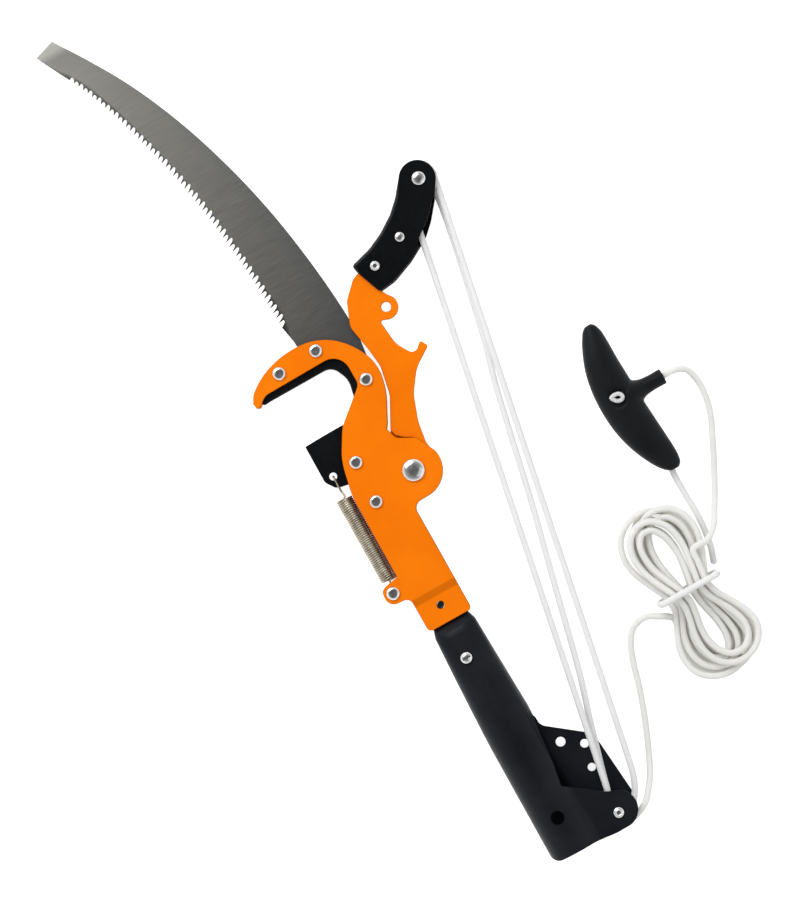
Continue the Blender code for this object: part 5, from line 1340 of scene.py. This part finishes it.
def hank_points():
    """The hank's centreline: loops that spiral in and out, layer on layer, drawn in at the waist.

    Each layer is turned a little about the waist, so its loops don't hide those below.
    """
    turns = HANK_LAYERS * HANK_LAYER_TURNS - HANK_SHORT
    steps = round(turns * HANK_LOOP_POINTS)
    points = []
    for i in range(steps + 1):
        t = HANK_FROM + (turns - HANK_FROM) * i / steps
        layer = min(HANK_LAYERS - 1, int(t / HANK_LAYER_TURNS))
        inside = t - layer * HANK_LAYER_TURNS
        rank = inside if layer % 2 == 0 else HANK_LAYER_TURNS - inside
        near = round(t / HANK_LAYER_TURNS)
        climb = 1.0
        if 0 < near < HANK_LAYERS:
            climb = (t - near * HANK_LAYER_TURNS) / 0.5
        level = layer
        if abs(climb) < 0.5:
            level = near - 1 + (0.5 - 0.5 * math.cos(math.pi * (climb + 0.5)))
        phase = math.pi + 2 * math.pi * t
        c, s = math.cos(phase), math.sin(phase)
        waist = HANK_WAIST - HANK_WAIST_STEP * rank
        lobe = HANK_LOBE - HANK_LOBE_STEP * rank
        x = c * (waist + lobe * s * s)
        y = (HANK_LENGTH - HANK_LENGTH_STEP * rank) * s * (0.62 + 0.38 * s * s) + 4 * s * s
        if y < 0:
            x += HANK_LEAN * min(1.0, (y / 45) ** 2)
        nearness = 1 - min(1.0, abs(y - TIE_OFFSET) / 32)
        lift = (2 * ROPE_RADIUS + GAP) * math.sin(math.pi / 2 * nearness) ** 2
        below = math.floor(level)
        share = eased(level - below)
        above = min(HANK_LAYERS - 1, below + 1)
        angle = math.radians(HANK_TURNED[below] * (1 - share) + HANK_TURNED[above] * share)
        c, s = math.cos(angle), math.sin(angle)
        y -= TIE_OFFSET
        height = ROPE_RADIUS + lift + HANK_RISE * level
        points.append(Vector((x * c - y * s, x * s + y * c + TIE_OFFSET, height)))
    return points


def free_line():
    """The rope from the lower block through the hank to the handle, in the floor's millimetres."""
    line = hank_points()
    out = (line[-1] - line[-2]).normalized()
    line = [*(Vector(p) for p in HANK_LEAD_IN), *line[1:], line[-1] + out * 2 * ROPE_RADIUS]
    centre = Vector((*HANK_CENTRE, 0))
    hank = [p + centre for p in line]
    haul = Vector((*on_circle(LOWER_PIN, LOWER_WRAP, HAUL_END), LOWER_SHEAVE_W)) * MM
    start = (FLOOR.inverted() @ TOOL @ haul) / MM
    neck = Vector((NECK_END + GAP, NECK_V, GRIP_HIGH))
    ends = []
    for point, way, (end, after) in ((start, FREE_ROPE, hank[:2]), (neck, LEAD_ROPE, hank[:-3:-1])):
        into = end + (end - after).normalized() * 8
        ends.append(above_floor([point, *smooth([*way, into], 14.0)]))
    return [*ends[0], *hank, *reversed(ends[1]), Vector((NECK_END - 9, NECK_V, GRIP_HIGH))]


def make_ropes(white, cream):
    """The pull rope, the tie round its hank and the tail past the handle."""
    line = smooth(free_line(), PLAIT)
    mesh = swept("free_rope_braid", line, matrix=FLOOR, **ROPE_FORM)
    # The free rope and its hank take the darker copy of the rope: painted shade.
    rope = piece("pull_rope", mesh, cream, "frame", "white_rope", "free_rope", "rope_hank", "handle_rope")
    route = lay(line, FLOOR)
    print("Length of the pull rope, in metres:", round(length_of(route), 4))
    half = HANK_WAIST + 2 * ROPE_RADIUS + GAP + TIE_WIDE
    top = 2 * ROPE_RADIUS + GAP + HANK_RISE * (HANK_LAYERS - 1) + 3 * ROPE_RADIUS + GAP
    corners = ((-half, ROPE_RADIUS), (half, ROPE_RADIUS), (half, top), (-half, top))
    corners = [(x, z, TIE_ROUND) for x, z in corners]
    ring = [(x + HANK_CENTRE[0], HANK_CENTRE[1] + TIE_OFFSET, z) for x, z in rounded(corners)]
    ring = evenly([*ring, ring[0]], PLAIT)[:-1]
    if len(ring) % 2:
        ring = ring[:-1]
    mesh = swept("hank_tie_braid", ring, closed=True, matrix=FLOOR, **ROPE_FORM)
    tie = piece("hank_tie_rope", mesh, white, "frame", "white_rope", "hank_tie")
    tail = smooth(above_floor(smooth(TAIL_ROPE, 14.0)), PLAIT)
    mesh = swept("rope_tail_braid", tail, matrix=FLOOR, tip=1.6, **ROPE_FORM)
    end = piece("tail_rope", mesh, white, "frame", "white_rope", "rope_tail")
    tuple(route[0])
    round(length_of(route), 3)
    run = lay(list(reversed(tail)), FLOOR)
    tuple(run[0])
    round(length_of(run), 3)


def make_tackle(white):
    """The strands between the blocks, and the rope's turns round the sheaves."""
    run = math.degrees(math.atan2(TOP_PIN[1] - LOWER_PIN[1], TOP_PIN[0] - LOWER_PIN[0]))
    right = run - 90 + 1.0
    left = run + 90 + 0.8
    eye = PIN_SHANK + GAP + ROPE_RADIUS
    for name, body, centre, radius, start, end, level in (
        ("rope_upper_turn", "rope_head", TOP_PIN, UPPER_WRAP, right, left, UPPER_SHEAVE_W),
        ("rope_dead_end", "rope_head", TOP_PIN, eye, *DEAD_END, DEAD_END_W),
        ("rope_lower_turn", "strands", LOWER_PIN, LOWER_WRAP, RIGHT_TANGENT, LEFT_TANGENT, -LOWER_SHEAVE_W),
        ("rope_haul_turn", "frame", LOWER_PIN, LOWER_WRAP, LEFT_TANGENT, HAUL_END, LOWER_SHEAVE_W),
    ):
        line = evenly([(*p, level) for p in arc(centre, radius, start, end, 60)], PLAIT)
        piece(name + "_braid", swept(name, line, **ROPE_FORM), white, body, "white_rope", name)
    low_left, low_right = (on_circle(LOWER_PIN, LOWER_WRAP, at) for at in (LEFT_TANGENT, RIGHT_TANGENT))
    top_left, top_right = (on_circle(TOP_PIN, UPPER_WRAP, at) for at in (left, right))
    top_end = on_circle(TOP_PIN, eye, DEAD_END[0])
    low_w, high_w = LOWER_SHEAVE_W, UPPER_SHEAVE_W
    foot, head = lay(((*LOWER_PIN, 0), (*TOP_PIN, 0)), TOOL)
    for name, bend, way, top, low, high in (
        ("rope_strand_a", (low_right, *STRAND_A), (), top_right, -low_w, high_w),
        ("rope_strand_b", (low_left, *STRAND_BC), STRAND_B, top_end, -low_w, DEAD_END_W),
        ("rope_strand_c", (low_left, *STRAND_BC), (), top_left, low_w, high_w),
    ):
        line = smooth([(*p, low) for p in bend], 4.5)
        start = line[-1].y
        for u, v in (*way, top):
            line.append(Vector((u, v, low + (high - low) * (v - start) / (top[1] - start))))
        line = smooth(line, PLAIT) if way else evenly(line, PLAIT)
        mesh = swept(name, line, **ROPE_FORM)
        strand = piece(name + "_braid", mesh, white, "strands", "white_rope", name)
        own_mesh(strand)
        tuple(foot)


bpy.context.scene.view_settings.view_transform = "Standard"
make_camera()
make_lamp("key", *KEY_LAMP)
make_lamp("fill", *FILL_LAMP)
make_world()
make_floor()
# Its edges and the joggle's sloped band are darker orange: painted shade.
ORANGE = clouded(
    "orange_powder_coat", ((0.98, 0.21, 0.001), 0.42),
    ((0.93, 0.19, 0.0015), (1.0, 0.218, 0.0025), 26, 4), (0.34, 0.46, 90, 3), (0.12, 0.0002, 620, 2),
    edge_shading=(0.34, 0.075, 0.002), reach=(0.35, 0.65), specular=0.03,
)
BLACK = black_material("black_satin_coat", 1.9)
# Lighter grey along the housing's folds: a painted highlight.
FOLDED = black_material("black_folded_sheet", 0.5, edge_shading=(0.036, 0.038, 0.042))
COATED = black_material("black_coated_blade", 0.7)
PLASTIC = plastic_material()
SAW = saw_material()
ZINC = clouded(
    "bright_zinc_plate", ((0.8, 0.8, 0.8), 0.16),
    ((0.66, 0.67, 0.68), (0.86, 0.86, 0.85), 320, 4), (0.10, 0.24, 700, 3), (0.10, 0.0001, 500, 2),
    metallic=1.0,
)
SPRING = clouded(
    "spring_wire", ((0.45, 0.41, 0.34), 0.3),
    ((0.28, 0.24, 0.175), (0.55, 0.50, 0.40), 130, 5, 0.6), (0.22, 0.42, 900, 3), (0.12, 0.00005, 1800, 2),
    metallic=1.0,
)
WHITE = rope_material("white_braided_rope", (0.88, 0.88, 0.875), (0.96, 0.96, 0.955))
# The same rope in a darker, yellower copy for the free rope and its hank: painted shade.
HANK_SHADE_ROPE = rope_material("cream_braided_rope", (0.86, 0.853, 0.785), (0.92, 0.912, 0.85))
make_ropes(WHITE, HANK_SHADE_ROPE)
make_tackle(WHITE)
make_side_plates(ORANGE)
make_hook_edge(COATED)
make_saw(SAW)
make_lever(ORANGE, COATED)
make_fasteners(ZINC, BLACK)
make_sheaves(PLASTIC)
make_housing(FOLDED)
make_socket(BLACK)
make_spring(SPRING)
make_handle(PLASTIC, WHITE)

SLOT_LOOKS = {
    "orange_paint": ORANGE,
    "black_coat": BLACK,
    "saw_steel": SAW,
    "bright_zinc": ZINC,
    "spring_steel": SPRING,
    "white_rope": WHITE,
    "black_plastic": PLASTIC,
}
for name, obj in NODES.items():
    for held in obj.material_slots:
        key = held.material.name.split(".")[0] if held.material else ""
        held.material = SLOT_LOOKS.get(key, BLACK)
